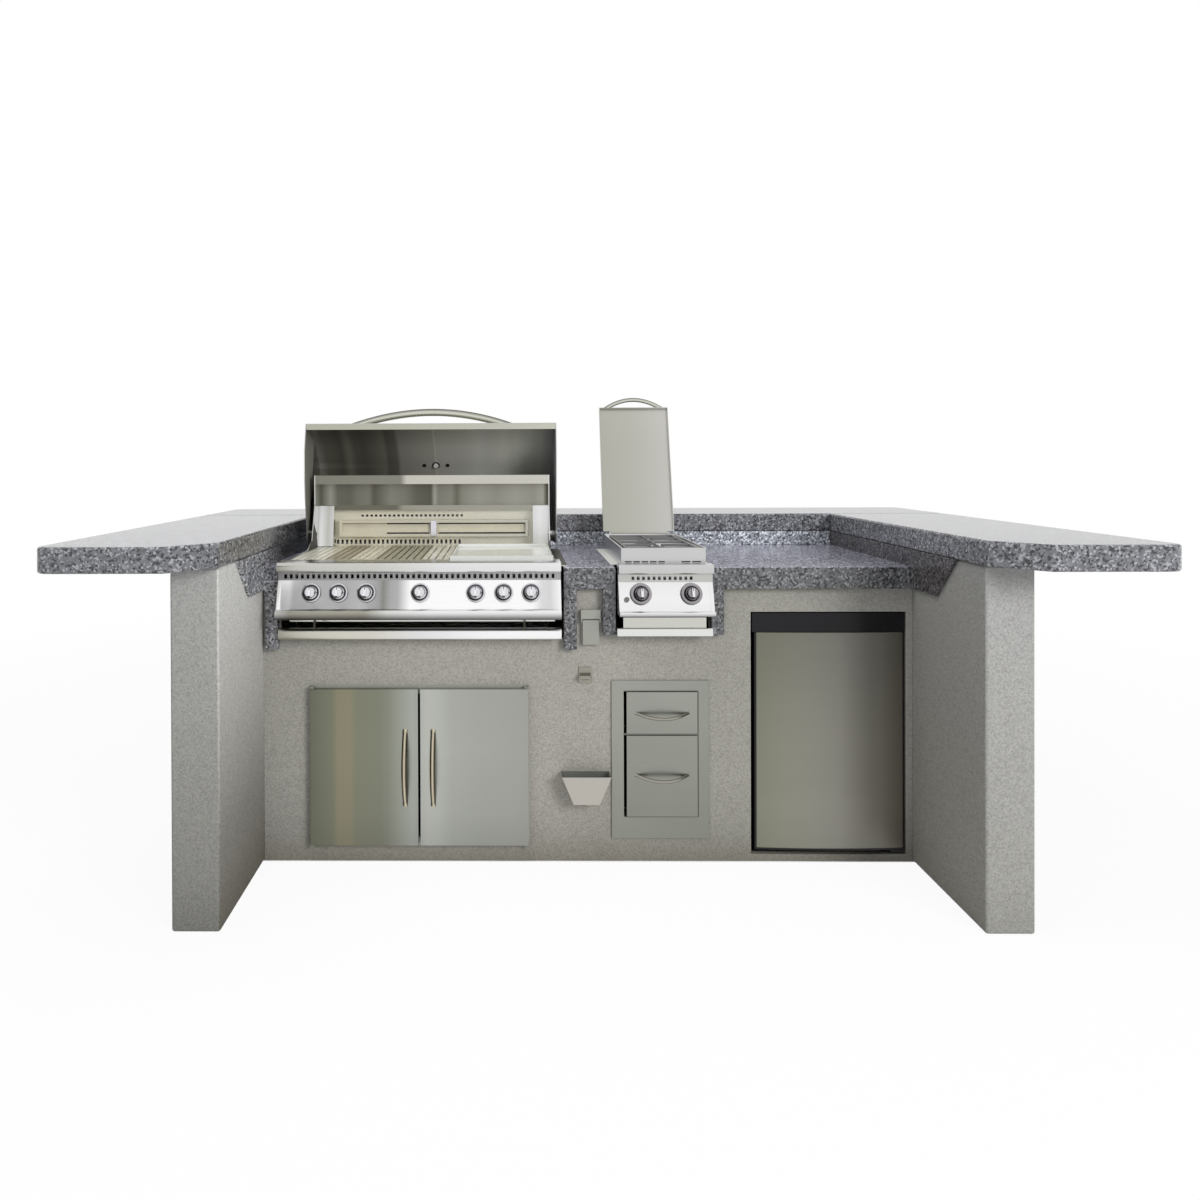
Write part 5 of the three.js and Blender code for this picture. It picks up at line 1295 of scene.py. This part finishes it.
# %% Thermometer
nut_steel = steel_finish("nut_steel", linear(230, 228, 222), roughness=0.4, metallic=0.2)
ENAMEL_GRAIN = 0.00005
dial_white = plain_finish(
    "dial_white", linear(228, 228, 222), 0.35, grain=80.0, variation=0.02, depth=ENAMEL_GRAIN
)
needle_red = plain_finish(
    "needle_red", linear(150, 34, 30), 0.4, grain=80.0, variation=0.05, depth=ENAMEL_GRAIN
)
GAUGE_FACET = 11
GAUGE_RADIUS = 0.032
DIAL_RADIUS, DIAL_TOP = 0.0262, 0.0119
MARKS = 25
FIRST_MARK, MARK_STEP = 225, 11.25  # degrees: the first mark's angle, and the step clockwise from it
NEEDLE_ANGLE = 215

gauge = on_hood(GAUGE_FACET) @ Matrix.Rotation(math.radians(90), 4, "X")
ring = turned(
    [(0, 0.0003), (GAUGE_RADIUS, 0.0003), (GAUGE_RADIUS, 0.011), (0.030, 0.014), (0.0275, 0.014),
     (0.0265, 0.0115), (0, 0.0115)], 40, gauge)
hexagon = turned(
    [(0, -0.0113), (0.011, -0.0113), (0.011, -0.0033), (0.008, -0.0033), (0.008, 0.0003), (0, 0.0003)],
    6, gauge)
dial = turned([(0, 0.01155), (DIAL_RADIUS, 0.01155), (DIAL_RADIUS, DIAL_TOP), (0, DIAL_TOP)], 40, gauge)
shapes = [(ring, bright_steel), (hexagon, nut_steel), (dial, dial_white)]
for i in range(MARKS):
    spot = gauge @ Matrix.Rotation(math.radians(FIRST_MARK - i * MARK_STEP), 4, "Z")
    inner = 0.019 if i % 4 == 0 else 0.0215
    shapes.append((bar((inner, -0.0004, DIAL_TOP), (0.024, 0.0004, 0.0121), spot), black_plastic))
spot = gauge @ Matrix.Rotation(math.radians(NEEDLE_ANGLE), 4, "Z")
shapes.append((bar((-0.005, -0.0007, 0.0122), (0.018, 0.0007, 0.0126), spot), needle_red))
hub = turned([(0, DIAL_TOP), (0.0025, DIAL_TOP), (0.0025, 0.0135), (0, 0.0135)], 12, gauge)
shapes.append((hub, black_plastic))
remade("hood_thermometer", shapes)
print("thermometer with", MARKS, "marks")

# %% Washer and screws inside the hood
SCREW_OFFSET = 0.05

# painted shadow: the dark washer round the nut; painted shade: the two screws are dark, as their holes
washer_profile = [(0.0085, -0.0034), (0.017, -0.0034), (0.0165, -0.0044), (0.0085, -0.0044)]
screw_profile = [(0, -0.0034), (0.009, -0.0034), (0.008, -0.0052), (0, -0.0058)]
shapes = [(turned(washer_profile, 32, gauge, ring=True), gap_shade)]
for offset in (-SCREW_OFFSET, SCREW_OFFSET):
    spot = gauge @ Matrix.Translation((offset, 0, 0))
    shapes.append((turned(screw_profile, 24, spot), gap_shade))
assembled("badge_screws", shapes, "hood")
print("washer and two screws made")

# %% [markdown]
# ## Knobs
# Each knob is a turned skirt with a fluted rim, a grip across it and a black marker line, on a stem that
# goes through the panel. A chrome bezel stays on the panel. The flutes are made by pulling the rim's points
# inwards by a cosine, which keeps one clean mesh. Place and direction come from the knob's joint, so it
# turns about its own stem.

# %% Knob finishes
# painted reflections on the knobs, their rims and bezels: dark where they turn down and to the left
chrome = rounded_finish(
    "knob_chrome", (236, 236, 240), (36, 34, 36), 0.12, shade_from=(-0.4, 0.3, -0.85), reach=(-0.2, 0.34)
)
rim_chrome = rounded_finish(
    "knob_rims", (222, 221, 225), (52, 50, 53), 0.14, shade_from=(-0.75, 0.25, -0.6), reach=(-0.25, 0.6)
)
ring_chrome = rounded_finish(
    "knob_rings", (172, 168, 172), (44, 42, 46), 0.14, shade_from=(-0.7, 0.2, -0.6), reach=(-0.6, 0.5)
)
print("knob finishes ready")


# %% Knob parts
BASE, GRIP_TOP = 0.0053, 0.0393  # above the panel's face
RIM_RADIUS = 0.024
FLUTES, FLUTE_DEPTH = 24, 0.0007


def knob_place(joint_name):
    """The frame of a knob, with its axis along the joint's."""
    joint = joint_named[joint_name]
    axis = Vector(joint["axis"]).normalized()
    side = Vector((1, 0, 0))
    return Matrix.Translation(joint["pos_m"]) @ Matrix((side, axis.cross(side), axis)).transposed().to_4x4()


def skirt(place):
    profile = [
        (0, 0), (0.0225, 0), (RIM_RADIUS, 0.0015), (RIM_RADIUS, 0.008), (0.0215, 0.0105), (0.0195, 0.012),
        (0.0185, 0.022), (0.0165, 0.0245), (0, 0.0255),
    ]
    points, faces = turned([(radius, BASE + height) for radius, height in profile], FLUTES * 4)
    fluted = []
    for point in points:
        radius = math.hypot(point.x, point.y)
        angle = math.atan2(point.y, point.x)
        if abs(radius - RIM_RADIUS) < 0.0005:
            radius -= FLUTE_DEPTH * (1 + math.cos(FLUTES * angle))
            point = Vector((radius * math.cos(angle), radius * math.sin(angle), point.z))
        fluted.append(place @ point)
    return fluted, faces


def grip(place):
    outline = [
        (-0.0185, BASE + 0.018), (0.0185, BASE + 0.018), (0.0175, GRIP_TOP - 0.004), (0.0145, GRIP_TOP),
        (-0.0145, GRIP_TOP), (-0.0175, GRIP_TOP - 0.004),
    ]
    return pushed(outline, "x", -0.0045, 0.0045, place)


print("a knob rises", GRIP_TOP, "m from its panel")


# %% Knobs and bezels
def knob(node, rim, spread=0.0):
    """Makes a knob and returns the shapes of its bezel, which may spread wider."""
    place = knob_place(node + "_turn")
    stem = turned([(0, -0.026), (0.004, -0.026), (0.004, BASE), (0, BASE)], 16, place)
    mark = bar((-0.0011, 0.006, GRIP_TOP - 0.0002), (0.0011, 0.0145, GRIP_TOP + 0.0002), place)
    parts = [(skirt(place), rim), (stem, chrome), (grip(place), chrome), (mark, black_plastic)]
    remade(node, parts, bevel=0.7)
    bezel = turned(
        [(0.0262, 0.0051), (0.0330 + spread, 0.0051), (0.0335 + spread, 0.0060), (0.0325 + spread, 0.0085),
         (0.0300 + spread, 0.0098), (0.0272, 0.0085)], 48, place, ring=True)
    # painted shade: a thin dark disc in the gap under the knob
    well = turned(
        [(0.0046, 0.0050), (0.0264, 0.0050), (0.0264, 0.0052), (0.0046, 0.0052)], 40, place, ring=True)
    return [(bezel, rim), (well, gap_shade)]


def knobs_of(panel, count, rim, spread=0.0):
    bezels = []
    for index in range(1, count + 1):
        bezels += knob(f"{panel}_knob_{index}", rim, spread)
    assembled(f"{panel}_knob_bezels", bezels, "island")


knobs_of("grill", 7, rim_chrome)
knobs_of("side_burner", 2, ring_chrome, spread=0.0045)
print("knobs turned")

# %% [markdown]
# ## Cooking grates
# Each grate has eleven thick rounded bars over three thin cross bars. It is rebuilt from single bars, so
# that each can take a wide bevel, and a ramp across the grill paints the bars a pale cream with darker
# bands, as a painted reflection.

# %% Grates
# painted reflection: pale cream bars with darker bands across the grill
grate_reflection_tones = [
    (-1.07, 229, 227, 214), (-0.955, 248, 244, 225), (-0.94, 182, 172, 148), (-0.86, 178, 169, 146),
    (-0.845, 244, 240, 219), (-0.775, 248, 244, 225), (-0.76, 178, 174, 152), (-0.60, 184, 180, 158),
    (-0.585, 246, 243, 226), (-0.49, 253, 250, 238),
]
grate_steel = steel_finish("grate_steel", graded("X", *grate_reflection_tones), roughness=0.3, metallic=0.6)
GRATE_BARS, BAR_WIDTH, CROSS_WIDTH, CROSS_HEIGHT = 11, 0.0205, 0.008, 0.006

for node in ("left_grate", "right_grate"):
    low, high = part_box(node)
    step = (high.x - low.x - BAR_WIDTH) / (GRATE_BARS - 1)
    shapes = []
    for i in range(GRATE_BARS):
        x = low.x + i * step
        shapes.append((bar((x, low.y, low.z), (x + BAR_WIDTH, high.y, high.z)), grate_steel))
    for y in (low.y, (low.y + high.y - CROSS_WIDTH) / 2, high.y - CROSS_WIDTH):
        shapes.append((bar((low.x, y, low.z), (high.x, y + CROSS_WIDTH, low.z + CROSS_HEIGHT)), grate_steel))
    remade(node, shapes, bevel=2.6, segments=3)
print("grates with gaps of", round((step - BAR_WIDTH) / MM, 1), "mm")

# %% [markdown]
# ## Griddle, tamers, gas rail and tray
# These are plain folded or cast pieces that the solids already show in full. They only need soft edges and
# a finish: a bright griddle with a paler plate, cream tamers painted pale as painted light where they lie in
# shade under the grates, a smoked gas rail, and a tray whose front bar is painted brighter on the right, as
# painted light.

# %% Griddle, tamers, gas rail and tray
PLATE_TOP = 1.094

plate_steel = steel_finish("griddle_plate", linear(246, 246, 240), roughness=0.3, metallic=0.6)
# painted light: the tamers are pale, though they lie in shade under the grates
tamer_steel = steel_finish(
    "tamer_steel", linear(244, 238, 218), roughness=0.45, metallic=0.1, bands=(5, 5, 5), tones=0.3
)
# painted light: the drip tray's front bar is brighter towards the right
drip_light_tones = [(-1.093, 200, 198, 184), (-0.75, 216, 214, 204), (-0.593, 228), (-0.35, 250), (-0.093, 252)]
drip_steel = steel_finish("drip_bar", graded("X", *drip_light_tones))

plate_zones = [(plate_steel, lambda middle, normal: looks(normal, "+z") and middle.z < PLATE_TOP)]
dressed("griddle", bright_steel, 1.5, zones=plate_zones)
dressed("flame_tamers", tamer_steel, 0.5)
dressed("burner_manifold", smoked_steel, 0.5)
dressed("grill_drip_tray", drip_steel, 0.8)
dressed("left_hood_pin", bright_steel, 0.6)
dressed("right_hood_pin", bright_steel, 0.6)
print("griddle, tamers, gas rail and tray dressed")

# %% [markdown]
# ## Infrared burner
# The rear burner is a cream frame round ceramic tiles, which have rows of fine holes, with a bracket over
# the joint and dark strips of painted shade along the tiles' top and bottom edges. A Voronoi pattern
# without randomness is a regular grid, so it draws the holes, each painted darker in its middle as its
# shade. As geometry they would be thousands of faces, each hardly a pixel wide.


# %% Burner tile
def tile_finish(name, color):
    """A fired tile with rows of small burner holes, each painted darker in its middle as its shade."""
    material, tree, shader, vector = blank(name, Roughness=0.9)
    grid = {"Vector": vector, "Scale": 220.0, "Randomness": 0.0}
    distance = put(tree, "ShaderNodeTexVoronoi", grid).outputs["Distance"]
    tinted = scaled(tree, color[:3], mapped(tree, distance, (0.2, 0.34), (0.55, 1.05)))
    aged = grouped(
        tree, weathering, Vector=vector, Color=tinted, Patch_size=14.0, Patches=0.3, Ground_dirt=0.0
    )
    tree.links.new(aged["Color"], shader.inputs["Base Color"])
    bumped(tree, shader, distance, 0.5, 0.0008)
    return material


fired_tile = tile_finish("fired_tile", linear(214, 208, 188))
cream = graded("X", (-0.99, 214, 208, 186), (-0.7, 206, 202, 186), (-0.2, 196, 194, 182))
cream_steel = steel_finish("burner_frame", cream, roughness=0.4, metallic=0.5)
wire_chrome = steel_finish(
    "wire_chrome", linear(214, 214, 218), roughness=0.1, stretch=(200, 200, 200), streaks=0.03, tones=0.0,
    depth=0.00005,
)
print("burner finishes ready")

# %% Infrared burner
TILE_RECESS = 0.01
BRACKET_HALF = 0.012
SHADE_STRIP_LEFT = -0.79

burner_low, burner_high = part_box("rear_burner")
burner_x = (burner_low.x + burner_high.x) / 2


def tile_face(middle, normal):
    return looks(normal, "-y") and middle.y > burner_low.y + TILE_RECESS


dressed("rear_burner", cream_steel, 1.0, zones=[(fired_tile, tile_face)])
bracket = bar(
    (burner_x - BRACKET_HALF, burner_low.y - 0.004, burner_low.z + 0.002),
    (burner_x + BRACKET_HALF, burner_low.y - SEAT_GAP, burner_high.z - 0.002))
assembled("rear_burner_bracket", [(bracket, wire_chrome)], "island", bevel=0.8)
# painted shade: dark strips along the tiles' top and bottom edges, under the frame
shapes = []
for x0, x1 in ((SHADE_STRIP_LEFT, burner_x - 0.02), (burner_x + 0.02, burner_high.x - 0.014)):
    for z in (burner_low.z + 0.0105, burner_high.z - 0.0175):
        shapes.append((bar((x0, burner_low.y + 0.0092, z), (x1, burner_low.y + 0.0118, z + 0.007)), gap_shade))
assembled("rear_burner_clips", shapes, "island", bevel=0.4)
print("infrared burner and", len(shapes), "shade_strips made")

# %% [markdown]
# ## Side burner box
# Five short slots and two longer ones air the box above its panel. They go through one sheet only, so a
# shallow row of cutters does it. The deck round the burner heads is less glossy than the box, from cooking
# on it, and painted lighter than the box, as painted light. The lid is painted lighter to the right and at
# its top, as a painted reflection.

# %% Side burner box and lid
SLOT_FOOT, SLOT_TOP = 0.018, 0.022  # above the worktop
DECK_HALF = 0.12

# painted light: the deck is lighter than the box
deck_steel = steel_finish("burner_deck", linear(226, 226, 222), roughness=0.5, metallic=0.3)
# painted reflection: the lid lightens to the right and towards its top
lid_steel = steel_finish("lid_steel", crossed(
    graded("X", (0.121, 182, 182, 172), (0.25, 188, 188, 179), (0.421, 200, 199, 194)),
    graded("Z", (1.1, 250), (1.5, 250), (1.67, 255))))

box_front = exact(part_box("side_burner_box")[0].y)
spans = [(-0.136 + i * 0.0295, 0.023) for i in range(5)] + [(0.064, 0.031), (0.102, 0.031)]
slots = [
    bar((COOKER.x + left, box_front - CUT, worktop_top + SLOT_FOOT),
        (COOKER.x + left + length, box_front + CUT, worktop_top + SLOT_TOP))
    for left, length in spans
]


def on_deck(middle, normal):
    return looks(normal, "+z") and abs(middle.x - COOKER.x) < DECK_HALF and middle.y > COOKER.y


dressed("side_burner_box", box_steel, 0.9, cutter=cutting("box_slots", slots), zones=[(deck_steel, on_deck)])
dressed("side_burner_lid", lid_steel, 1.2)
print(len(slots), "slots cut in the box")

# %% [markdown]
# ## Burner heads
# Gas comes from a rail behind the panel, through one tube, to two cast heads with a cap each. Each head is
# turned as one profile, with its step and the groove where the flames come out, because every part of it
# is round about one upright axis.

# %% Burner heads
# painted sheen: the black cast iron is given the mid grey that it shows in the light
black_iron = plain_finish("black_iron", linear(120, 119, 120), 0.38, grain=220.0, Metallic=0.4)
HEAD_DEPTHS = (0.122, 0.362)  # behind the wall's face
DECK_TOP = 0.041  # above the worktop
RAIL_RADIUS, TUBE_RADIUS = 0.010, 0.009
RAIL_REACH, RAIL_DROP = 0.0333, 0.0984  # before the wall's face and below the worktop's top
head_profile = [
    (0, -0.006), (0.038, -0.006), (0.038, 0.004), (0.034, 0.0055), (0.034, 0.0085), (0.0365, 0.0095),
    (0.036, 0.012), (0.032, 0.0145), (0, 0.015),
]

rail = Vector((COOKER.x, wall_face - RAIL_REACH, worktop_top - RAIL_DROP))
rail_half = Vector((0.114, 0, 0))
tube_end = (rail.x, COOKER.y + HEAD_DEPTHS[1], rail.z)
shapes = [
    (swept([rail - rail_half, rail + rail_half], RAIL_RADIUS, 20), black_iron),
    (swept([rail, tube_end], TUBE_RADIUS, 20), black_iron),
]
for depth in HEAD_DEPTHS:
    spot = (COOKER.x, COOKER.y + depth, COOKER.z + DECK_TOP)
    shapes.append((swept([(*spot[:2], rail.z - 0.004), spot], TUBE_RADIUS, 20), black_iron))
    shapes.append((turned(head_profile, 40, Matrix.Translation(spot)), black_iron))
for index in (1, 2):
    spot = knob_place(f"side_burner_knob_{index}_turn")
    shapes.append((bar((-0.013, -0.013, -0.0623), (0.013, 0.013, -0.0263), spot), wire_chrome))
remade("side_burner_heads", shapes, bevel=0.6)
print(len(HEAD_DEPTHS), "heads turned")

# %% [markdown]
# ## Pan support, tray and igniter
# The pan support is cast iron in one piece. Its flat faces meet in long thin corners that melting would
# tear, so its triangles are kept. The tray is folded sheet with a fascia painted darker, as painted shade
# under the panel's lip, and the igniter is a grey button.

# %% Pan support, tray and igniter
FASCIA_FOOT = 0.024

side_steel = calm_steel("side_burner_steel", linear(228, 229, 227))
# painted shade: the tray's fascia is darker under the panel's lip
fascia_steel = calm_steel("side_tray_fascia", linear(206, 206, 198), 0.26)
igniter_grey = plain_finish(
    "igniter_grey", linear(104, 103, 98), 0.4, grain=300.0, variation=0.05, depth=0.0001
)

dressed("side_burner_grate", black_iron, 1.4, merged=False)
fascia_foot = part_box("side_burner_tray")[0].z + FASCIA_FOOT
fascia_zones = [(fascia_steel, lambda middle, normal: looks(normal, "-y") and middle.z > fascia_foot)]
dressed("side_burner_tray", side_steel, 0.8, zones=fascia_zones)
dressed("igniter_button", igniter_grey, 0.6)
print("side burner dressed")

# %% [markdown]
# ## Cupboard doors
# The doors are brushed sheet with painted reflections of the yard: a dark green-grey on the left with one
# warm band, lighter towards the gap. Two ramps are crossed, one over the width and one that darkens the
# foot as painted shade. The hinge pins and the lugs in the frame are told apart by where they lie, because
# they mirror none of it.

# %% Door finishes
# painted shade: darker towards the foot of the doors
door_shade = graded("Z", (0.058, 228), (0.18, 246), (0.4, 255), (0.632, 252))
# painted reflections across the width of each door
left_door_reflections = [
    (-0.990, 114, 117, 101), (-0.946, 121, 123, 107), (-0.912, 126, 127, 110), (-0.892, 141, 137, 116),
    (-0.848, 142, 138, 117), (-0.822, 132, 133, 116), (-0.741, 133, 135, 119), (-0.712, 140, 141, 129),
    (-0.663, 158, 161, 151), (-0.624, 170, 173, 166), (-0.604, 166, 169, 162),
]
right_door_reflections = [
    (-0.596, 180, 184, 177), (-0.572, 188, 190, 182), (-0.532, 184, 187, 180), (-0.484, 174, 176, 169),
    (-0.405, 170, 172, 165), (-0.21, 165, 166, 159),
]
left_door_steel = steel_finish("left_door_steel", crossed(graded("X", *left_door_reflections), door_shade))
right_door_steel = steel_finish("right_door_steel", crossed(graded("X", *right_door_reflections), door_shade))
frame_steel = steel_finish("frame_steel", linear(160, 162, 154), bands=(3, 0, 0.6), metallic=0.3)
lug_steel = steel_finish("hinge_lugs", linear(122, 124, 116), roughness=0.5, metallic=0.1)
print("door finishes ready")

# %% Doors
LUG_INNER, LUG_OUTER = 0.372, 0.3926  # from the middle of the frame
LUG_HEIGHTS = (0.075, 0.615)  # the lugs lie below and above
PIN_REACH = 0.0045

frame_middle = middle_of("door_frame")
panel_low, panel_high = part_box("left_door")


def lugs(middle, normal):
    between = LUG_HEIGHTS[0] < middle.z < LUG_HEIGHTS[1]
    return LUG_INNER < abs(middle.x - frame_middle.x) < LUG_OUTER and not between


def door_pins(middle, normal):
    return middle.z > panel_high.z - PIN_REACH or middle.z < panel_low.z + PIN_REACH


dressed("door_frame", frame_steel, 0.6, zones=[(lug_steel, lugs)])
dressed("left_door", left_door_steel, 1.4, zones=[(frame_steel, door_pins)])
dressed("right_door", right_door_steel, 1.4, zones=[(frame_steel, door_pins)])
print("doors dressed")

# %% [markdown]
# ## Drawers
# The drawer cabinet has a wide flange round its two fronts. Thin strips lie behind the gaps beside and
# between the fronts, as on the real one, where the cabinet's dividers show there, and they are painted dark
# as the shade in those gaps. Without them one could look past the drawers into an empty box. The fronts and
# the flange are painted lighter towards the top, and the flange a little darker to the right, as painted
# light and shade.

# %% Drawers
# painted shade: the dividers are dark, as the gaps between the drawers
divider_steel = steel_finish("drawer_dividers", linear(104, 105, 98), metallic=0.2)
# painted light: the drawer fronts are lighter towards the top
drawer_light_by_height = graded(
    "Z", (0.16, 140, 141, 133), (0.35, 149, 151, 143), (0.46, 151, 153, 145), (0.61, 160, 160, 153)
)
drawer_steel = steel_finish("drawer_steel", drawer_light_by_height, bands=(3, 0, 0.6))
# painted light and shade: the flange is darker at its foot and a little darker to the right
cabinet_steel = steel_finish("cabinet_steel", crossed(
    graded("X", (0.088, 255), (0.436, 242)),
    graded("Z", (0.083, 136, 138, 129), (0.25, 143, 145, 136), (0.5, 152, 154, 145), (0.65, 152, 154, 146))),
    metallic=0.6)

dressed("drawer_cabinet", cabinet_steel, 1.4)
dressed("upper_drawer", drawer_steel, 1.2)
dressed("lower_drawer", drawer_steel, 1.2)
dividers = [
    bar((0.133, -0.288, 0.4547), (0.3975, -0.276, 0.4603)),
    bar((0.3946, -0.285, 0.163), (0.3974, -0.272, 0.611)),
    bar((0.133, -0.285, 0.6104), (0.3974, -0.272, 0.6124)),
]
for number, shape in enumerate(dividers, 1):
    assembled(f"drawer_divider_{number}", [(shape, divider_steel)], "island", bevel=0.4)
print("drawers dressed")

# %% [markdown]
# ## Refrigerator cabinet
# A compact refrigerator has a black shell and a pale plastic liner. The shell and liner are one solid, so
# the faces inside a box a few centimetres smaller than the cabinet get the liner's plastic. The wire shelf
# is bright chrome.

# %% Refrigerator cabinet
liner_plastic = plain_finish(
    "liner_plastic", linear(214, 214, 208), 0.4, grain=40.0, variation=0.03, depth=0.0001
)
SHELL = 0.03
SHELL_FRONT = 0.06
LINER_HEIGHTS = (0.06, 0.8)

cabinet_low, cabinet_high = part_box("fridge_cabinet")


def in_cabinet(middle, normal):
    return (
        cabinet_low.x + SHELL < middle.x < cabinet_high.x - SHELL
        and cabinet_low.y + SHELL_FRONT < middle.y < cabinet_high.y - SHELL
        and LINER_HEIGHTS[0] < middle.z < LINER_HEIGHTS[1]
    )


dressed("fridge_cabinet", black_plastic, 1.2, zones=[(liner_plastic, in_cabinet)])
print("cabinet", tuple(round(size, 3) for size in cabinet_high - cabinet_low), "m")

# %% [markdown]
# ## Refrigerator door
# The door's front is bowed steel, with painted reflections that darken towards the right and painted shade
# that darkens its top. A ramp paints the last millimetres of each side and of its foot nearly black: the
# door's dark edge with the painted shadow of the gap round it. Its back is plastic, with three bins cut into
# it, each behind two chrome rails.

# %% Refrigerator door
# painted reflection across the width, painted shade at the top, and nearly black edges with the painted shadow of
# the gap
fridge_steel = steel_finish("fridge_steel", crossed(
    graded("X", (0.6, 16), (0.6075, 16), (0.6085, 124, 124, 108), (0.72, 132, 131, 118), (0.9, 140, 138, 129),
           (1.05, 126, 123, 113), (1.1275, 102, 98, 86), (1.1285, 16), (1.133, 16)),
    graded("Z", (0.042, 16), (0.0485, 16), (0.0495, 246), (0.2, 255), (0.45, 248), (0.82, 218))),
    roughness=0.4, metallic=0.3, bands=(0.5, 0, 6))
BIN_HEIGHTS = ((0.105, 0.255), (0.36, 0.47), (0.575, 0.72))
BIN_MARGIN, BIN_DEPTH = 0.048, 0.032
LINER_EDGE = (0.01, 0.015)  # inside the door's outline, sideways and upwards
RAIL_LIFTS, WIRE_RADIUS = (0.032, 0.056), 0.0022

door_low, door_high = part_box("fridge_door")
door_back = door_high.y
bin_left, bin_right = door_low.x + BIN_MARGIN, door_high.x - BIN_MARGIN


def door_liner(middle, normal):
    return (
        middle.y > door_back - BIN_DEPTH - 0.002
        and door_low.x + LINER_EDGE[0] < middle.x < door_high.x - 0.009
        and door_low.z + LINER_EDGE[1] < middle.z < door_high.z - LINER_EDGE[1]
    )


bins = [
    bar((bin_left, door_back - BIN_DEPTH, foot), (bin_right, door_back + CUT, top))
    for foot, top in BIN_HEIGHTS
]
door_zones = [(liner_plastic, door_liner), (liner_plastic, lambda middle, normal: looks(normal, "+y"))]
dressed("fridge_door", fridge_steel, 4.0, segments=3, zones=door_zones, cutter=cutting("door_bins", bins))
y = door_back - 0.0035
heights = [foot + lift for foot, _ in BIN_HEIGHTS for lift in RAIL_LIFTS]
rails = [swept([(bin_left - MM, y, z), (bin_right + MM, y, z)], WIRE_RADIUS, 10) for z in heights]
shapes = [(shape, wire_chrome) for shape in rails]
assembled("fridge_door_rails", shapes, body_of_node["fridge_door"])
print(len(BIN_HEIGHTS), "bins and", len(rails), "rails in the door")

# %% [markdown]
# ## Door seal, shelf and thermostat
# A soft black seal runs round the door's back and meets the cabinet when the door shuts. It is four flat
# strips. The thermostat is a white disk with a knob and seven marks, on the liner's rear wall.

# %% Door seal
rubber = plain_finish("door_gasket", linear(40, 40, 40), 0.75, grain=200.0)
SEAL_WIDTH = 0.012
SEAL_JOINT = 0.0002

left, right = door_low.x + 0.007, door_high.x - 0.013
foot, top = door_low.z + 0.014, door_high.z - 0.014
y0, y1 = door_back + 0.0001, door_back + 0.0016
side_foot, side_top = foot + SEAL_WIDTH + SEAL_JOINT, top - SEAL_WIDTH - SEAL_JOINT
strips = [
    bar((left, y0, foot), (right, y1, foot + SEAL_WIDTH)),
    bar((left, y0, top - SEAL_WIDTH), (right, y1, top)),
    bar((left, y0, side_foot), (left + SEAL_WIDTH, y1, side_top)),
    bar((right - SEAL_WIDTH, y0, side_foot), (right, y1, side_top)),
]
shapes = [(shape, rubber) for shape in strips]
assembled("fridge_door_seal", shapes, body_of_node["fridge_door"])
print("seal", round(right - left, 3), "by", round(top - foot, 3), "m")

# %% Shelf and thermostat
DIAL_MARKS, FIRST_DIAL_MARK, DIAL_STEP = 7, -30, 40
DIAL_PLACE = (0.9635, 0.2197, 0.71)

dressed("fridge_shelf", wire_chrome, 0.6)
dial = Matrix.Translation(DIAL_PLACE) @ Matrix.Rotation(math.radians(90), 4, "X")
shapes = [
    (turned([(0, 0), (0.030, 0), (0.0285, 0.0016), (0, 0.0016)], 40, dial), dial_white),
    (turned([(0, 0.0016), (0.015, 0.0016), (0.0135, 0.006), (0, 0.0065)], 28, dial), liner_plastic),
]
for i in range(DIAL_MARKS):
    spot = dial @ Matrix.Rotation(math.radians(FIRST_DIAL_MARK + i * DIAL_STEP), 4, "Z")
    shapes.append((bar((0.019, -0.0005, 0.0016), (0.0255, 0.0005, 0.0019), spot), black_plastic))
assembled("fridge_dial", shapes, body_of_node["fridge_cabinet"], bevel=0.2)
print("refrigerator dressed")

# %% [markdown]
# ## Small fittings
# Between the appliances the wall carries an outlet under a hinged cover, a bottle opener and a catcher for
# the caps. Their solids have all their forms, so they get soft edges and a finish. The catcher's inside is
# darker, because little light gets into it.

# %% Small fittings
outlet_plastic = plain_finish(
    "outlet_plastic", linear(150, 151, 143), 0.5, grain=300.0, variation=0.05, depth=0.0002
)
opener_steel = steel_finish("opener_steel", linear(156, 153, 143), roughness=0.32, stretch=(100, 100, 100))
catcher_steel = steel_finish("catcher_steel", linear(188, 183, 175), roughness=0.3)
catcher_inside = steel_finish("catcher_inside", linear(98, 100, 94), roughness=0.6, metallic=0.1)
BACK_PLANE, FRONT_PLANE = -0.33, -0.3  # the catcher's faces between these look into it


def in_catcher(middle, normal):
    towards_front = looks(normal, "-y") and middle.y > BACK_PLANE
    towards_back = looks(normal, "+y") and middle.y < FRONT_PLANE
    return towards_front or towards_back or looks(normal, "+z")


dressed("outlet_box", outlet_plastic, 1.2)
dressed("outlet_flap", outlet_plastic, 1.2)
dressed("bottle_opener", opener_steel, 0.8)
dressed("cap_catcher", catcher_steel, 0.6, zones=[(catcher_inside, in_catcher)])
print("small fittings dressed")
